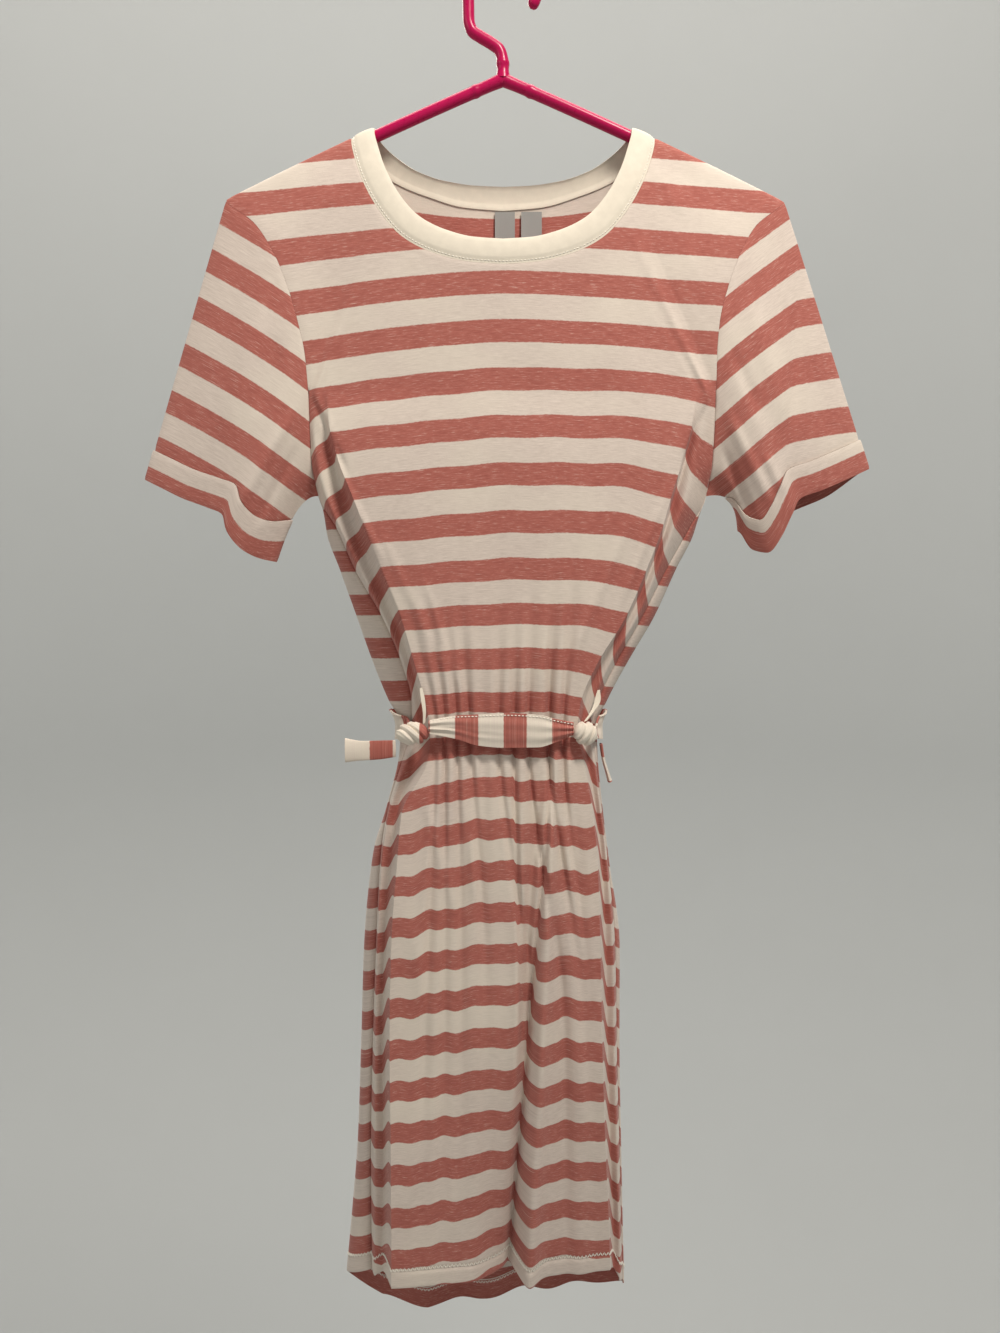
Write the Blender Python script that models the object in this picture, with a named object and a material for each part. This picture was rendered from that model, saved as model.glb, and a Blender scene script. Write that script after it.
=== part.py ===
"""Striped mini dress with a tie belt, hanging on a moulded tubular hanger.

All sizes are in millimetres and are turned into metres where a mesh is made. The origin is where the
inside of the hanger's hook rests. X runs across the dress, Y runs away from its front, Z runs up.
Left and right are those of someone who looks at the front.

The dress is a tube of cloth. A section of it at one height is drawn through named stations: the side
seam, the roll beside it, the valley behind the face's crease, the crease, the flat face with its
gathers, and the same on the other side. The back has the seams, its outer edges and its own face.
Above the chest row each panel is a fan of straight rays from the neck edge out to the shoulder, the
armhole and the chest row. Every piece of cloth is a closed wall between an outer and an inner skin.
"""
from collections import namedtuple
import math

import bmesh
import bpy
from mathutils import Vector
from mathutils.bvhtree import BVHTree
import numpy as np

MM = 0.001

# Cloth
WALL = 1.2
SEAM_GAP = 0.3
LABEL_WALL = 1.0
BELT_WALL = 2.0

# Hanger
TUBE_RADIUS = 4.2
TUBE_SIDES = 2
HOOK_RADIUS = 25.0
HOOK_TIP_ANGLE = -38.0
HOOK_CELLS = 16
STEM_ROUTE = ((-25.0, 0.0, -30.0), (-24.8, 0.0, -44.0), (-22.5, 0.0, -51.5), (-16.5, 0.0, -55.8),
              (-8.5, 0.0, -60.4), (-2.8, 0.0, -64.8), (-0.5, 0.0, -71.0), (0.0, 0.0, -78.0),
              (0.0, 0.0, -85.5))
JUNCTION_Z = -85.5
ARM_SLOPE = 0.41
ARM_DROOP = 0.00018
ARM_END_X = 179.0
END_BEND_RADIUS = 21.0

# Shoulders: the cloth's outer side runs this far above the arm's middle line
CREST_RISE = 6.6
CREST_SHOULDER_DEPTH = 4.6
CREST_SHOULDER_DROP = 2.3
NECK_POINT_X = 110.5
SHOULDER_TIP_X = {"left": 202.0, "right": 205.5}

# Heights of the main levels
HEM_Z = -985.0
WAIST_Z = -560.0
UNDERARM_Z = -385.0
SKIRT_LEVELS = (-985, -948, -905, -855, -802, -748, -695, -648, -614, -590, -573)
BODICE_LEVELS = (-560, -547, -530, -508, -480, -450, -417)
CHEST_LEVELS = (-385, -363, -339, -312)
YOKE_STEPS = (0.0, 0.07, 0.24, 0.43, 0.62, 0.81, 1.0)

# Columns of the panels
SIDE_CELLS = 2
FACE_CELLS = 30
BACK_EDGE_CELLS = 3
BACK_FACE_CELLS = 28

# Sleeves
SLEEVE_CELLS = 6
CUFF_CELLS = 2
CUFF_DEPTH = 23.0
SLEEVE_SWELL = 4.0

SIDES = {"left": -1.0, "right": 1.0}

# A row for each level: how far out and how far back each station lies
Side = namedtuple("Side", "z crease_x crease_y valley_x valley_y roll_x roll_y seam_x seam_y edge_x edge_y")
LEFT_SIDE = (
    Side(-312, 128.0, -20, 132.5, -19, 137.0, -18, 142.0, -17, 132.0, 20),
    Side(-339, 125.5, -24, 130.5, -17, 137.5, -17, 142.0, -14, 133.0, 20),
    Side(-363, 119.0, -26, 125.0, -13, 135.0, -17, 141.8, -10, 136.0, 19),
    Side(-385, 110.0, -27, 119.0, -12, 130.0, -16, 139.0, -1, 137.5, 17),
    Side(-410, 100.5, -27, 110.5, -11, 120.0, -15, 125.0, -2, 136.0, 19),
    Side(-440, 89.0, -27, 98.0, -12, 106.0, -14, 112.0, -3, 126.0, 19),
    Side(-475, 75.0, -27, 83.0, -13, 88.5, -14, 92.0, -4, 114.0, 19),
    Side(-510, 65.0, -27, 70.0, -14, 74.0, -14, 77.5, -4, 102.0, 19),
    Side(-540, 57.0, -26, 62.0, -15, 66.5, -14, 70.0, -3, 90.0, 18),
    Side(-560, 54.0, -26, 59.5, -14, 65.0, -15, 70.0, -2, 80.0, 17),
    Side(-580, 55.5, -28, 64.0, -13, 71.0, -16, 76.0, -3, 81.0, 17),
    Side(-620, 75.0, -31, 80.0, -13, 85.5, -16, 88.5, -3, 91.0, 18),
    Side(-655, 78.5, -33, 86.0, -13, 91.5, -15, 94.5, -3, 102.5, 19),
    Side(-725, 83.5, -36, 91.0, -14, 96.0, -15, 99.0, -3, 111.0, 21),
    Side(-800, 85.0, -39, 93.0, -15, 98.0, -16, 102.5, -3, 114.5, 23),
    Side(-880, 84.5, -42, 93.0, -17, 99.0, -17, 105.0, -3, 118.5, 24),
    Side(-940, 84.5, -44, 94.0, -18, 100.0, -17, 105.5, -2, 124.0, 21),
    Side(-990, 85.0, -45, 95.0, -19, 101.0, -17, 105.5, -2, 129.0, 16),
)
RIGHT_SIDE = (
    Side(-312, 141.0, -20, 145.5, -19, 150.5, -18, 155.5, -17, 145.0, 20),
    Side(-339, 136.5, -23, 140.0, -18, 145.0, -18, 155.5, -14, 147.0, 20),
    Side(-363, 130.0, -25, 133.5, -15, 138.5, -18, 155.2, -10, 150.0, 19),
    Side(-385, 123.0, -26, 127.5, -14, 134.5, -18, 153.0, -1, 151.5, 17),
    Side(-410, 116.0, -27, 120.5, -14, 125.0, -18, 140.0, -2, 147.5, 19),
    Side(-440, 105.0, -27, 110.0, -14, 114.0, -17, 123.5, -3, 133.5, 19),
    Side(-475, 90.0, -27, 95.0, -14, 99.5, -16, 106.0, -3, 118.0, 19),
    Side(-510, 69.0, -27, 74.5, -14, 79.5, -15, 86.5, -3, 98.0, 19),
    Side(-540, 57.0, -27, 62.0, -15, 67.0, -14, 73.0, -3, 82.0, 18),
    Side(-560, 55.0, -27, 59.5, -15, 64.0, -15, 68.0, -2, 73.5, 17),
    Side(-580, 59.5, -28, 64.0, -14, 68.0, -15, 71.0, -3, 74.0, 17),
    Side(-620, 66.5, -30, 70.5, -13, 74.0, -15, 76.5, -3, 78.0, 18),
    Side(-655, 70.5, -31, 75.0, -13, 78.5, -15, 81.0, -3, 83.0, 19),
    Side(-725, 73.0, -33, 79.0, -14, 84.0, -16, 88.0, -3, 93.5, 21),
    Side(-800, 75.0, -34, 81.0, -15, 86.0, -17, 90.0, -3, 94.0, 22),
    Side(-880, 78.5, -31, 84.0, -14, 89.0, -16, 93.0, -3, 96.0, 22),
    Side(-940, 82.0, -27, 87.0, -11, 91.5, -14, 95.0, -2, 98.0, 20),
    Side(-990, 84.0, -24, 88.5, -11, 92.8, -12, 97.0, -2, 99.5, 16),
)
SIDE_TABLES = {"left": LEFT_SIDE, "right": RIGHT_SIDE}

# The armhole seam from the chest row to the shoulder's edge
Edge = namedtuple("Edge", "x depth z")
ARMHOLES = {
    "left": (Edge(142, 17, -312), Edge(143.8, 18, -286), Edge(149, 18, -260), Edge(157, 16.5, -233),
             Edge(168, 14, -208), Edge(182, 10, -188), Edge(198.5, 6.4, -176)),
    "right": (Edge(155.5, 17, -312), Edge(155.5, 18, -288), Edge(157, 18, -262), Edge(162.5, 16.5, -238),
              Edge(172, 14, -212), Edge(184, 10, -191), Edge(201.5, 6.4, -177)),
}

# Neckband, shoulder to centre: its seam edge and its free edge
Band = namedtuple("Band", "seam_x seam_depth seam_z free_x free_depth free_z")
FRONT_BAND = (
    Band(110.5, 0.0, -126.4, 94.0, 0.0, -119.0), Band(110.2, 4.7, -128.4, 93.5, 4.7, -121.0),
    Band(109.8, 6.9, -133.0, 92.8, 6.9, -126.0), Band(108.0, 9.0, -141.0, 90.5, 9.0, -134.5),
    Band(102.5, 13.0, -158.0, 85.5, 13.0, -150.0),
    Band(90.5, 17.0, -181.0, 75.0, 16.5, -170.5), Band(72.5, 20.0, -202.0, 60.0, 19.0, -187.5),
    Band(50.0, 22.0, -214.0, 41.0, 21.0, -197.5), Band(25.0, 23.5, -220.5, 20.5, 22.0, -202.8),
    Band(0.0, 24.0, -222.5, 0.0, 22.5, -204.3),
)
BACK_BAND = (
    Band(110.5, 0.0, -126.4, 94.0, 0.0, -119.0), Band(109.8, 4.7, -128.4, 93.0, 4.7, -120.8),
    Band(108.0, 7.2, -132.8, 90.8, 7.2, -124.8), Band(96.0, 12.5, -142.5, 77.5, 12.5, -136.0),
    Band(80.0, 16.0, -152.5, 62.0, 15.5, -144.3), Band(57.0, 18.5, -161.0, 43.0, 17.0, -149.8),
    Band(29.0, 20.0, -168.5, 21.0, 18.0, -152.8), Band(0.0, 20.5, -170.8, 0.0, 18.5, -153.6),
)
BAND_CROWN = 0.8

# Share of half the neck edge that the armhole's rays start from
ARMHOLE_NECK_SHARE = 0.34

# Gathers and rolls: where each runs at four levels, its width there and how far it stands out
FOLD_LEVELS = (-400.0, -450.0, -560.0, -780.0, -985.0)
Fold = namedtuple("Fold", "bust_x waist_x skirt_x hem_x waist_width hem_width bust waist skirt hem")
FRONT_FOLDS = (
    Fold(-62, -47.0, -66, -70, 3.6, 9, 0.8, 3.0, 0.6, 0.0),
    Fold(-50, -38.5, -50, -56, 3.4, 9, 0.6, 3.4, 1.2, 0.0),
    Fold(-38, -29.5, -38, -42, 3.4, 9, 0.5, 2.8, 0.5, 0.0),
    Fold(-24, -20.0, -23, -25, 3.8, 10, 0.7, 3.2, 1.0, 0.5),
    Fold(-8, -8.5, -7, -12, 4.2, 12, 0.4, 2.6, 0.6, 0.0),
    Fold(4, 2.5, 3, 2, 3.8, 16, 0.4, 2.4, 0.0, -11.0),
    Fold(15, 14.0, 13, 6, 4.0, 8, 0.6, 3.8, 3.5, -3.0),
    Fold(26, 23.0, 17, 4, 3.2, 6, 0.4, 0.6, -8.0, -2.0),
    Fold(32, 28.0, 37, 40, 3.6, 8, 0.5, 2.6, 0.0, 0.0),
    Fold(44, 39.5, 30, 20, 3.6, 9, 0.9, 4.0, 8.5, 17.0),
    Fold(58, 49.0, 55, 62, 3.2, 9, 1.0, 3.2, 1.4, 1.5),
)
BACK_FOLDS = (
    Fold(-92, -66.0, -88, -96, 4.0, 13, 0.8, 2.0, 2.5, 4.0),
    Fold(-66, -50.0, -62, -66, 3.8, 12, 0.6, 2.4, 1.0, -3.0),
    Fold(-44, -34.0, -38, -36, 4.0, 14, 0.5, 2.2, 3.0, 6.0),
    Fold(-22, -18.0, -16, -8, 4.0, 12, 0.5, 2.4, 0.8, -2.5),
    Fold(0, -2.0, 8, 16, 4.2, 14, 0.4, 2.0, 2.5, 5.0),
    Fold(22, 14.0, 28, 38, 4.0, 12, 0.5, 2.4, 0.6, -3.0),
    Fold(46, 30.0, 50, 60, 4.0, 14, 0.6, 2.2, 3.0, 4.5),
    Fold(70, 48.0, 70, 80, 3.8, 12, 0.6, 2.2, 0.8, -1.0),
)

# How far each panel's face swells past its creases or edges, by level
SWELL_LEVELS = (-985.0, -800.0, -600.0, -560.0, -500.0, -385.0, -312.0)
FRONT_SWELL = (0.0, 1.0, 2.0, 1.5, 2.0, 2.5, 4.5)
BACK_SWELL = (0.0, 4.0, 5.0, 4.0, 4.5, 3.0, 2.0)

# How far the hem drops below its level: at each seam, at each back edge and along the back
SEAM_DROP = {"left": 15.0, "right": 24.0}
BACK_EDGE_DROP = {"left": 29.0, "right": 38.0}
BACK_HEM = ((-129.0, 29.0), (-100.0, 52.0), (-62.0, 60.0), (-20.0, 55.0), (20.0, 45.0), (99.0, 38.0))

# The lower edge of each cuff, outer fold to underarm fold
CUFF_FRONTS = {
    "left": (Edge(268, 0, -373), Edge(267, 3.2, -373.4), Edge(253, 9, -380), Edge(236, 13, -388),
             Edge(218, 16, -394.5), Edge(206, 19, -400), Edge(202.5, 22, -412), Edge(193, 19, -425),
             Edge(182, 11, -431.5), Edge(173.5, 3.4, -433.7), Edge(172, 0, -434)),
    "right": (Edge(274, 0, -365), Edge(273, 3.2, -365.4), Edge(256, 9, -373), Edge(236, 14, -381.5),
              Edge(218, 17, -388.5), Edge(212, 20, -400), Edge(205, 19, -416), Edge(196.5, 15, -427.5),
              Edge(187, 8, -425), Edge(179, 3.4, -412.5), Edge(178, 0, -411)),
}
CUFF_BACKS = {
    "left": (Edge(268, 0, -373), Edge(267, -3.2, -373.4), Edge(237, -11, -387), Edge(206, -13, -402),
             Edge(186, -9, -422), Edge(173.5, -3.4, -433.6), Edge(172, 0, -434)),
    "right": (Edge(274, 0, -365), Edge(273, -3.2, -365.4), Edge(247, -11, -384.5), Edge(224, -13, -394.5),
              Edge(200, -10, -406), Edge(180, -3.4, -411), Edge(178, 0, -411)),
}
# How far the underarm line bows outwards and upwards, and where the cloth's wall turns there
UNDERARM_BOW = {"left": (0.0, 13.0), "right": (6.0, 9.0)}
UNDERARM_OUT = 0.5
UNDERARM_DOWN = 0.87

# Belt: the front length between the knots, its upper and lower edge
BeltPoint = namedtuple("BeltPoint", "x depth top bottom")
BELT_FRONT = (
    BeltPoint(-54.4, 36.5, -550.0, -559.5), BeltPoint(-34.5, 38.0, -546.2, -563.3),
    BeltPoint(-18.0, 38.5, -545.2, -568.2), BeltPoint(1.0, 39.0, -544.2, -569.7),
    BeltPoint(25.5, 38.5, -545.5, -569.5), BeltPoint(38.0, 37.5, -548.9, -566.2),
    BeltPoint(51.6, 36.0, -552.3, -560.8),
)
BELT_FRONT_CELLS = 18
BELT_CROWN = 1.2
BELT_WIDTH = 22.0
BELT_CLEARANCE = 2.7
BELT_BACK_CELLS = 28
BELT_BACK_MIDDLE = ((45.0, 28.0), (20.0, 29.0), (-20.0, 29.0), (-50.0, 28.0))
Knot = namedtuple("Knot", "x y z half_width half_depth half_height belt_y")
KNOTS = {
    "left": Knot(-66.5, -34.0, -560.0, 11.5, 7.5, 8.5, -24.9),
    "right": Knot(60.5, -33.0, -560.0, 8.5, 7.0, 8.5, -27.2),
}
WRAP_SWELL = 0.07
WRAP_TURNS = 6.3
WRAP_SLANT = 0.5
TAIL_ROUTE = ((-82.8, 0.4, -577.3), (-95.0, -5.0, -577.5), (-107.0, -8.0, -577.5), (-120.0, -9.0, -577.0))
TAIL_WIDTHS = (13.0, 14.5, 15.0, 18.5)
END_ROUTE = ((75.8, 3.0, -574.0), (77.6, 4.0, -585.0), (80.5, 4.5, -595.0), (83.0, 5.0, -603.0))
END_WIDTHS = (11.0, 12.0, 13.0, 14.0)

# Belt carriers, side seam to knot, and their width on the way
CARRIER_ROUTES = {
    "left": ((-60.5, -27.9, -527.0), (-58.7, -32.0, -536.0), (-57.6, -34.2, -545.0),
             (-57.9, -34.6, -552.4)),
    "right": ((71.9, -14.6, -530.0), (70.0, -22.5, -538.0), (65.0, -30.0, -545.5),
              (60.5, -33.0, -550.8)),
}
CARRIER_WIDTHS = {"left": (1.8, 2.8, 2.4, 1.8), "right": (2.0, 4.8, 3.2, 2.0)}
CARRIER_WALL = 1.0

# Neck labels: middle, width and length below the back neck seam
Label = namedtuple("Label", "name x width length")
LABELS = (Label("label_main", 1.5, 15.0, 38.0), Label("label_size", 21.5, 15.5, 30.0))
LABEL_TOP_Z = -172.0

# Colours, linear red, green and blue
PINK = (0.47, 0.13, 0.11)
CREAM = (0.74, 0.67, 0.55)
GREY = (0.22, 0.21, 0.20)
MAGENTA = (0.58, 0.0, 0.09)


def pchip(knots, values, where):
    """Smooth curve through values at rising knots that never overshoots them."""
    knots = np.asarray(knots, dtype=float)
    values = np.asarray(values, dtype=float)
    where = np.clip(np.asarray(where, dtype=float), knots[0], knots[-1])
    span = np.diff(knots)
    slope = np.diff(values) / span
    product = slope[:-1] * slope[1:]
    total = np.where(product > 0, slope[:-1] + slope[1:], 1.0)
    tangent = np.zeros(len(knots))
    tangent[1:-1] = np.where(product > 0, 2 * product / total, 0.0)
    tangent[0] = slope[0]
    tangent[-1] = slope[-1]
    cell = np.clip(np.searchsorted(knots, where, side="right") - 1, 0, len(span) - 1)
    t = (where - knots[cell]) / span[cell]
    start = values[cell] * (1 + 2 * t) * (1 - t) ** 2
    start = start + tangent[cell] * span[cell] * t * (1 - t) ** 2
    end = values[cell + 1] * t ** 2 * (3 - 2 * t)
    return start + end - tangent[cell + 1] * span[cell] * t ** 2 * (1 - t)


def along(points, fractions):
    """Points at the given fractions of the length of a smooth curve through the points."""
    points = np.asarray(points, dtype=float)
    steps = np.linalg.norm(np.diff(points, axis=0), axis=1)
    length = np.concatenate(([0.0], np.cumsum(steps)))
    where = np.asarray(fractions) * length[-1]
    return np.stack([pchip(length, points[:, axis], where) for axis in range(points.shape[1])], axis=-1)


def arm_z(x):
    """Height of the hanger arm's middle line at a distance from the middle."""
    return JUNCTION_Z - ARM_SLOPE * abs(x) - ARM_DROOP * x * x


def station(side, name, levels):
    """A station's x and y at each level, x with the side's sign."""
    table = SIDE_TABLES[side][::-1]
    heights = [row.z for row in table]
    x = pchip(heights, [getattr(row, name + "_x") for row in table], levels)
    y = pchip(heights, [getattr(row, name + "_y") for row in table], levels)
    return SIDES[side] * x, y


def edge_points(table, side, facing):
    """The 3-D points of a table of edges; facing is -1 for the front and 1 for the back."""
    return np.array([(SIDES[side] * row.x, facing * row.depth, row.z) for row in table])


def fold_relief(folds, x, levels):
    """How far the folds stand out at each point: a sum of bells that run down the cloth."""
    relief = np.zeros_like(x)
    for fold in folds:
        places = (fold.bust_x, fold.bust_x, fold.waist_x, fold.skirt_x, fold.hem_x)
        heights = (0.0, fold.bust, fold.waist, fold.skirt, fold.hem)
        order = slice(None, None, -1)
        knots = FOLD_LEVELS[order]
        middle = pchip(knots, places[order], levels)
        height = pchip(knots, heights[order], levels)
        below = np.clip((WAIST_Z - levels) / (WAIST_Z - HEM_Z), 0.0, 1.0)
        above = np.clip((levels - WAIST_Z) / (UNDERARM_Z - WAIST_Z), 0.0, 1.0)
        width = fold.waist_width + (fold.hem_width - fold.waist_width) * below + 6.0 * above
        relief += height * np.exp(-((x - middle) / width) ** 2)
    return relief


def side_columns(side, levels):
    """Columns from the side seam to the crease: seam, roll, valley and crease joined smoothly."""
    names = ("seam", "roll", "valley", "crease")
    stations = [station(side, name, levels) for name in names]
    columns = np.arange(3 * SIDE_CELLS + 1) / SIDE_CELLS
    x = np.array([pchip(range(4), row, columns) for row in np.transpose([s[0] for s in stations])])
    y = np.array([pchip(range(4), row, columns) for row in np.transpose([s[1] for s in stations])])
    return np.stack([x, y, np.repeat(levels[:, None], len(columns), axis=1)], axis=-1)


def front_lower(levels):
    """The front from hem to chest row, left seam to right seam."""
    left = side_columns("left", levels)
    right = side_columns("right", levels)[:, ::-1]
    across = np.linspace(0.0, 1.0, FACE_CELLS + 1)[None, :, None]
    face = left[:, -1:] * (1 - across) + right[:, :1] * across
    swell = pchip(SWELL_LEVELS, FRONT_SWELL, levels)[:, None]
    place = across[:, :, 0]
    fade = 1 - (2 * place - 1) ** 8
    face[..., 1] -= swell * 4 * place * (1 - place)
    face[..., 1] -= fade * fold_relief(FRONT_FOLDS, face[..., 0], levels[:, None])
    grid = np.concatenate([left[:, :-1], face, right[:, 1:]], axis=1)
    hem = np.clip((WAIST_Z - levels) / (WAIST_Z - HEM_Z), 0.0, 1.0)[:, None]
    count = 3 * SIDE_CELLS
    seam_share = np.concatenate([np.linspace(1, 0, count + 1), np.zeros(FACE_CELLS - 1),
                                 np.linspace(0, 1, count + 1)])
    drop = np.where(np.arange(grid.shape[1]) < grid.shape[1] / 2, SEAM_DROP["left"], SEAM_DROP["right"])
    grid[..., 2] -= hem * seam_share * drop
    return grid


def back_turn(side, levels):
    """The back's columns from a side seam round to its outer edge: a quarter of an ellipse."""
    seam_x, seam_y = station(side, "seam", levels)
    seam_y = np.where(levels > UNDERARM_Z, -seam_y, seam_y)
    edge_x, edge_y = station(side, "edge", levels)
    angle = np.linspace(0.0, math.pi / 2, BACK_EDGE_CELLS + 1)[None]
    x = seam_x[:, None] + (edge_x - seam_x)[:, None] * np.sin(angle)
    y = seam_y[:, None] + (edge_y - seam_y)[:, None] * (1 - np.cos(angle))
    return np.stack([x, y, np.repeat(levels[:, None], angle.shape[1], axis=1)], axis=-1)


def back_lower(levels):
    """The back from hem to chest row, right seam to left seam."""
    right = back_turn("right", levels)
    left = back_turn("left", levels)[:, ::-1]
    across = np.linspace(0.0, 1.0, BACK_FACE_CELLS + 1)[None, :, None]
    face = right[:, -1:] * (1 - across) + left[:, :1] * across
    swell = pchip(SWELL_LEVELS, BACK_SWELL, levels)[:, None]
    place = across[:, :, 0]
    fade = 1 - (2 * place - 1) ** 8
    face[..., 1] += swell * (1 - (2 * place - 1) ** 4)
    face[..., 1] += fade * fold_relief(BACK_FOLDS, face[..., 0], levels[:, None])
    grid = np.concatenate([right[:, :-1], face, left[:, 1:]], axis=1)
    hem = np.clip((WAIST_Z - levels) / (WAIST_Z - HEM_Z), 0.0, 1.0)[:, None]
    below = np.interp(face[..., 0], [row[0] for row in BACK_HEM], [row[1] for row in BACK_HEM])
    ends = np.linspace(0.0, 1.0, BACK_EDGE_CELLS + 1)[:-1]
    right_drop = SEAM_DROP["right"] + (BACK_EDGE_DROP["right"] - SEAM_DROP["right"]) * ends
    left_drop = SEAM_DROP["left"] + (BACK_EDGE_DROP["left"] - SEAM_DROP["left"]) * ends[::-1]
    rows = len(levels)
    drop = np.concatenate([np.tile(right_drop, (rows, 1)), below, np.tile(left_drop, (rows, 1))], axis=1)
    grid[..., 2] -= hem * drop
    return grid


def neck_half(facing, edge, middle_cells):
    """One edge of the neckband, shoulder to centre on the right; edge is seam or free."""
    band = FRONT_BAND if facing < 0 else BACK_BAND
    seam = np.array([(row.seam_x, row.seam_depth, row.seam_z) for row in band])
    length = np.concatenate(([0.0], np.cumsum(np.linalg.norm(np.diff(seam, axis=0), axis=1))))
    names = [edge + part for part in ("_x", "_depth", "_z")]
    points = np.array([[getattr(row, name) for name in names] for row in band]) * (1, facing, 1)
    wrap = length[1:3]
    turn = ARMHOLE_NECK_SHARE * length[-1]
    armhole_cells = len(ARMHOLES["left"]) - 1
    beside = np.linspace(wrap[1], turn, armhole_cells + 1)[1:]
    middle = np.linspace(turn, length[-1], middle_cells + 1)[1:]
    where = np.concatenate([[0.0], wrap, beside, middle])
    return np.stack([pchip(length, points[:, axis], where) for axis in range(3)], axis=-1)


def neck_line(facing, edge, cells):
    """One edge of the neckband over a panel, left shoulder to right shoulder."""
    half = neck_half(facing, edge, cells // 2)
    return np.concatenate([half * (-1, 1, 1), half[-2::-1]])


def armhole_edge(side, facing):
    """The armhole from the shoulder's crest down to the chest row."""
    sign = SIDES[side]
    tip_x = SHOULDER_TIP_X[side]
    crest = np.array([sign * tip_x, 0.0, arm_z(tip_x) + CREST_RISE])
    half = crest + (0.0, facing * CREST_SHOULDER_DEPTH, -CREST_SHOULDER_DROP)
    table = [(sign * row.x, facing * row.depth, row.z) for row in ARMHOLES[side][::-1]]
    return np.array([crest, half] + table)


def yoke(lower, facing):
    """A panel above the chest row: rays from the neck edge to shoulder, armhole and chest row.

    Columns run as the panel's do, rows from the neck edge outwards.
    """
    order = ("left", "right") if facing < 0 else ("right", "left")
    start = armhole_edge(order[0], facing)
    end = armhole_edge(order[1], facing)[::-1]
    outer = np.concatenate([start[:-1], lower[-1], end[1:]])
    inner = neck_line(facing, "seam", lower.shape[1] - 1)
    inner = inner if facing < 0 else inner[::-1]
    steps = np.array(YOKE_STEPS)[::-1, None, None]
    grid = inner[None] * (1 - steps) + outer[None] * steps
    wrap = np.zeros(len(outer))
    wrap[:3] = 1.0
    wrap[-3:] = 1.0
    x = grid[..., 0]
    lift = ARM_DROOP * np.abs((x - inner[None, :, 0]) * (outer[None, :, 0] - x))
    grid[..., 2] += wrap * lift
    return grid


class Sheet:
    """A piece of cloth before it gets its thickness: outer points and the faces between them."""

    def __init__(self, name, material, wall=WALL):
        self.name = name
        self.material = material
        self.wall = wall
        self.points = np.zeros((0, 3))
        self.faces = np.zeros((0, 4), dtype=int)

    def add_grid(self, grid, closed=False, number=None):
        """Add a grid of points, or the numbers of points already there, and its faces."""
        if number is None:
            number = len(self.points) + np.arange(grid.shape[0] * grid.shape[1])
            number = number.reshape(grid.shape[:2])
            self.points = np.concatenate([self.points, grid.reshape(-1, 3)])
        if closed:
            number = np.concatenate([number, number[:, :1]], axis=1)
        quads = np.stack([number[:-1, :-1], number[:-1, 1:], number[1:, 1:], number[1:, :-1]], axis=-1)
        self.faces = np.concatenate([self.faces, quads.reshape(-1, 4)])
        return number

    def rims(self):
        """The edges that only one face has, each running as its face does, and their faces."""
        edges = np.concatenate([self.faces[:, [k, (k + 1) % 4]] for k in range(4)])
        known = set(map(tuple, edges.tolist()))
        alone = np.array([(end, start) not in known for start, end in edges.tolist()])
        owner = np.tile(np.arange(len(self.faces)), 4)
        return edges[alone], owner[alone]

    def inward(self):
        """A unit step from each rim point into the cloth, square to the rim, and zero elsewhere."""
        edges, owner = self.rims()
        run = self.points[edges[:, 1]] - self.points[edges[:, 0]]
        step = np.cross(face_normals(self.points, self.faces[owner]), run)
        step /= np.linalg.norm(step, axis=1)[:, None]
        inward = np.zeros_like(self.points)
        np.add.at(inward, edges[:, 0], step)
        np.add.at(inward, edges[:, 1], step)
        rim = np.unique(edges)
        inward[rim] /= np.linalg.norm(inward[rim], axis=1)[:, None]
        return inward

    def make(self, normals, gap=0.0):
        """The closed wall as a mesh object: outer skin, inner skin and rims."""
        outer = self.points + gap * self.inward()
        inner = outer - self.wall * normals
        count = len(outer)
        points = np.concatenate([outer, inner])
        skin = halved(points, self.faces)
        rims = self.rims()[0]
        strips = np.stack([rims[:, 1], rims[:, 0], rims[:, 0] + count, rims[:, 1] + count], axis=-1)
        faces = np.concatenate([skin, skin[:, ::-1] + count, halved(points, strips)])
        mesh = bpy.data.meshes.new(self.name)
        mesh.from_pydata((points * MM).tolist(), [], faces.tolist())
        place(self.name, mesh, self.material)
        return inner


def face_normals(points, faces):
    """The unit normal of each four-cornered face."""
    corners = points[faces]
    normal = np.cross(corners[:, 2] - corners[:, 0], corners[:, 3] - corners[:, 1])
    return normal / np.linalg.norm(normal, axis=1)[:, None]


def halved(points, faces):
    """Each four-cornered face cut into two triangles along its shorter diagonal."""
    corners = points[faces]
    first = np.linalg.norm(corners[:, 0] - corners[:, 2], axis=1)
    second = np.linalg.norm(corners[:, 1] - corners[:, 3], axis=1)
    turned = np.where((second < first)[:, None], np.roll(faces, -1, axis=1), faces)
    return np.concatenate([turned[:, [0, 1, 2]], turned[:, [0, 2, 3]]])


def sewn_normals(sheets, fixed=()):
    """Outward normals of sheets that meet at seams: where points coincide they share one.

    fixed holds pairs of a point and the direction its normal takes.
    """
    points = np.concatenate([sheet.points for sheet in sheets])
    keys = np.round(points, 3)
    places, spot = np.unique(keys, axis=0, return_inverse=True)
    spot = spot.ravel()
    total = np.zeros((len(places), 3))
    first = 0
    for sheet in sheets:
        normal = face_normals(sheet.points, sheet.faces)
        for corner in range(4):
            np.add.at(total, spot[first + sheet.faces[:, corner]], normal)
        first += len(sheet.points)
    for point, direction in fixed:
        total[np.all(places == np.round(point, 3), axis=1)] = direction
    total /= np.linalg.norm(total, axis=1)[:, None]
    split = np.cumsum([len(sheet.points) for sheet in sheets])[:-1]
    return np.split(total[spot], split)


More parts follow.
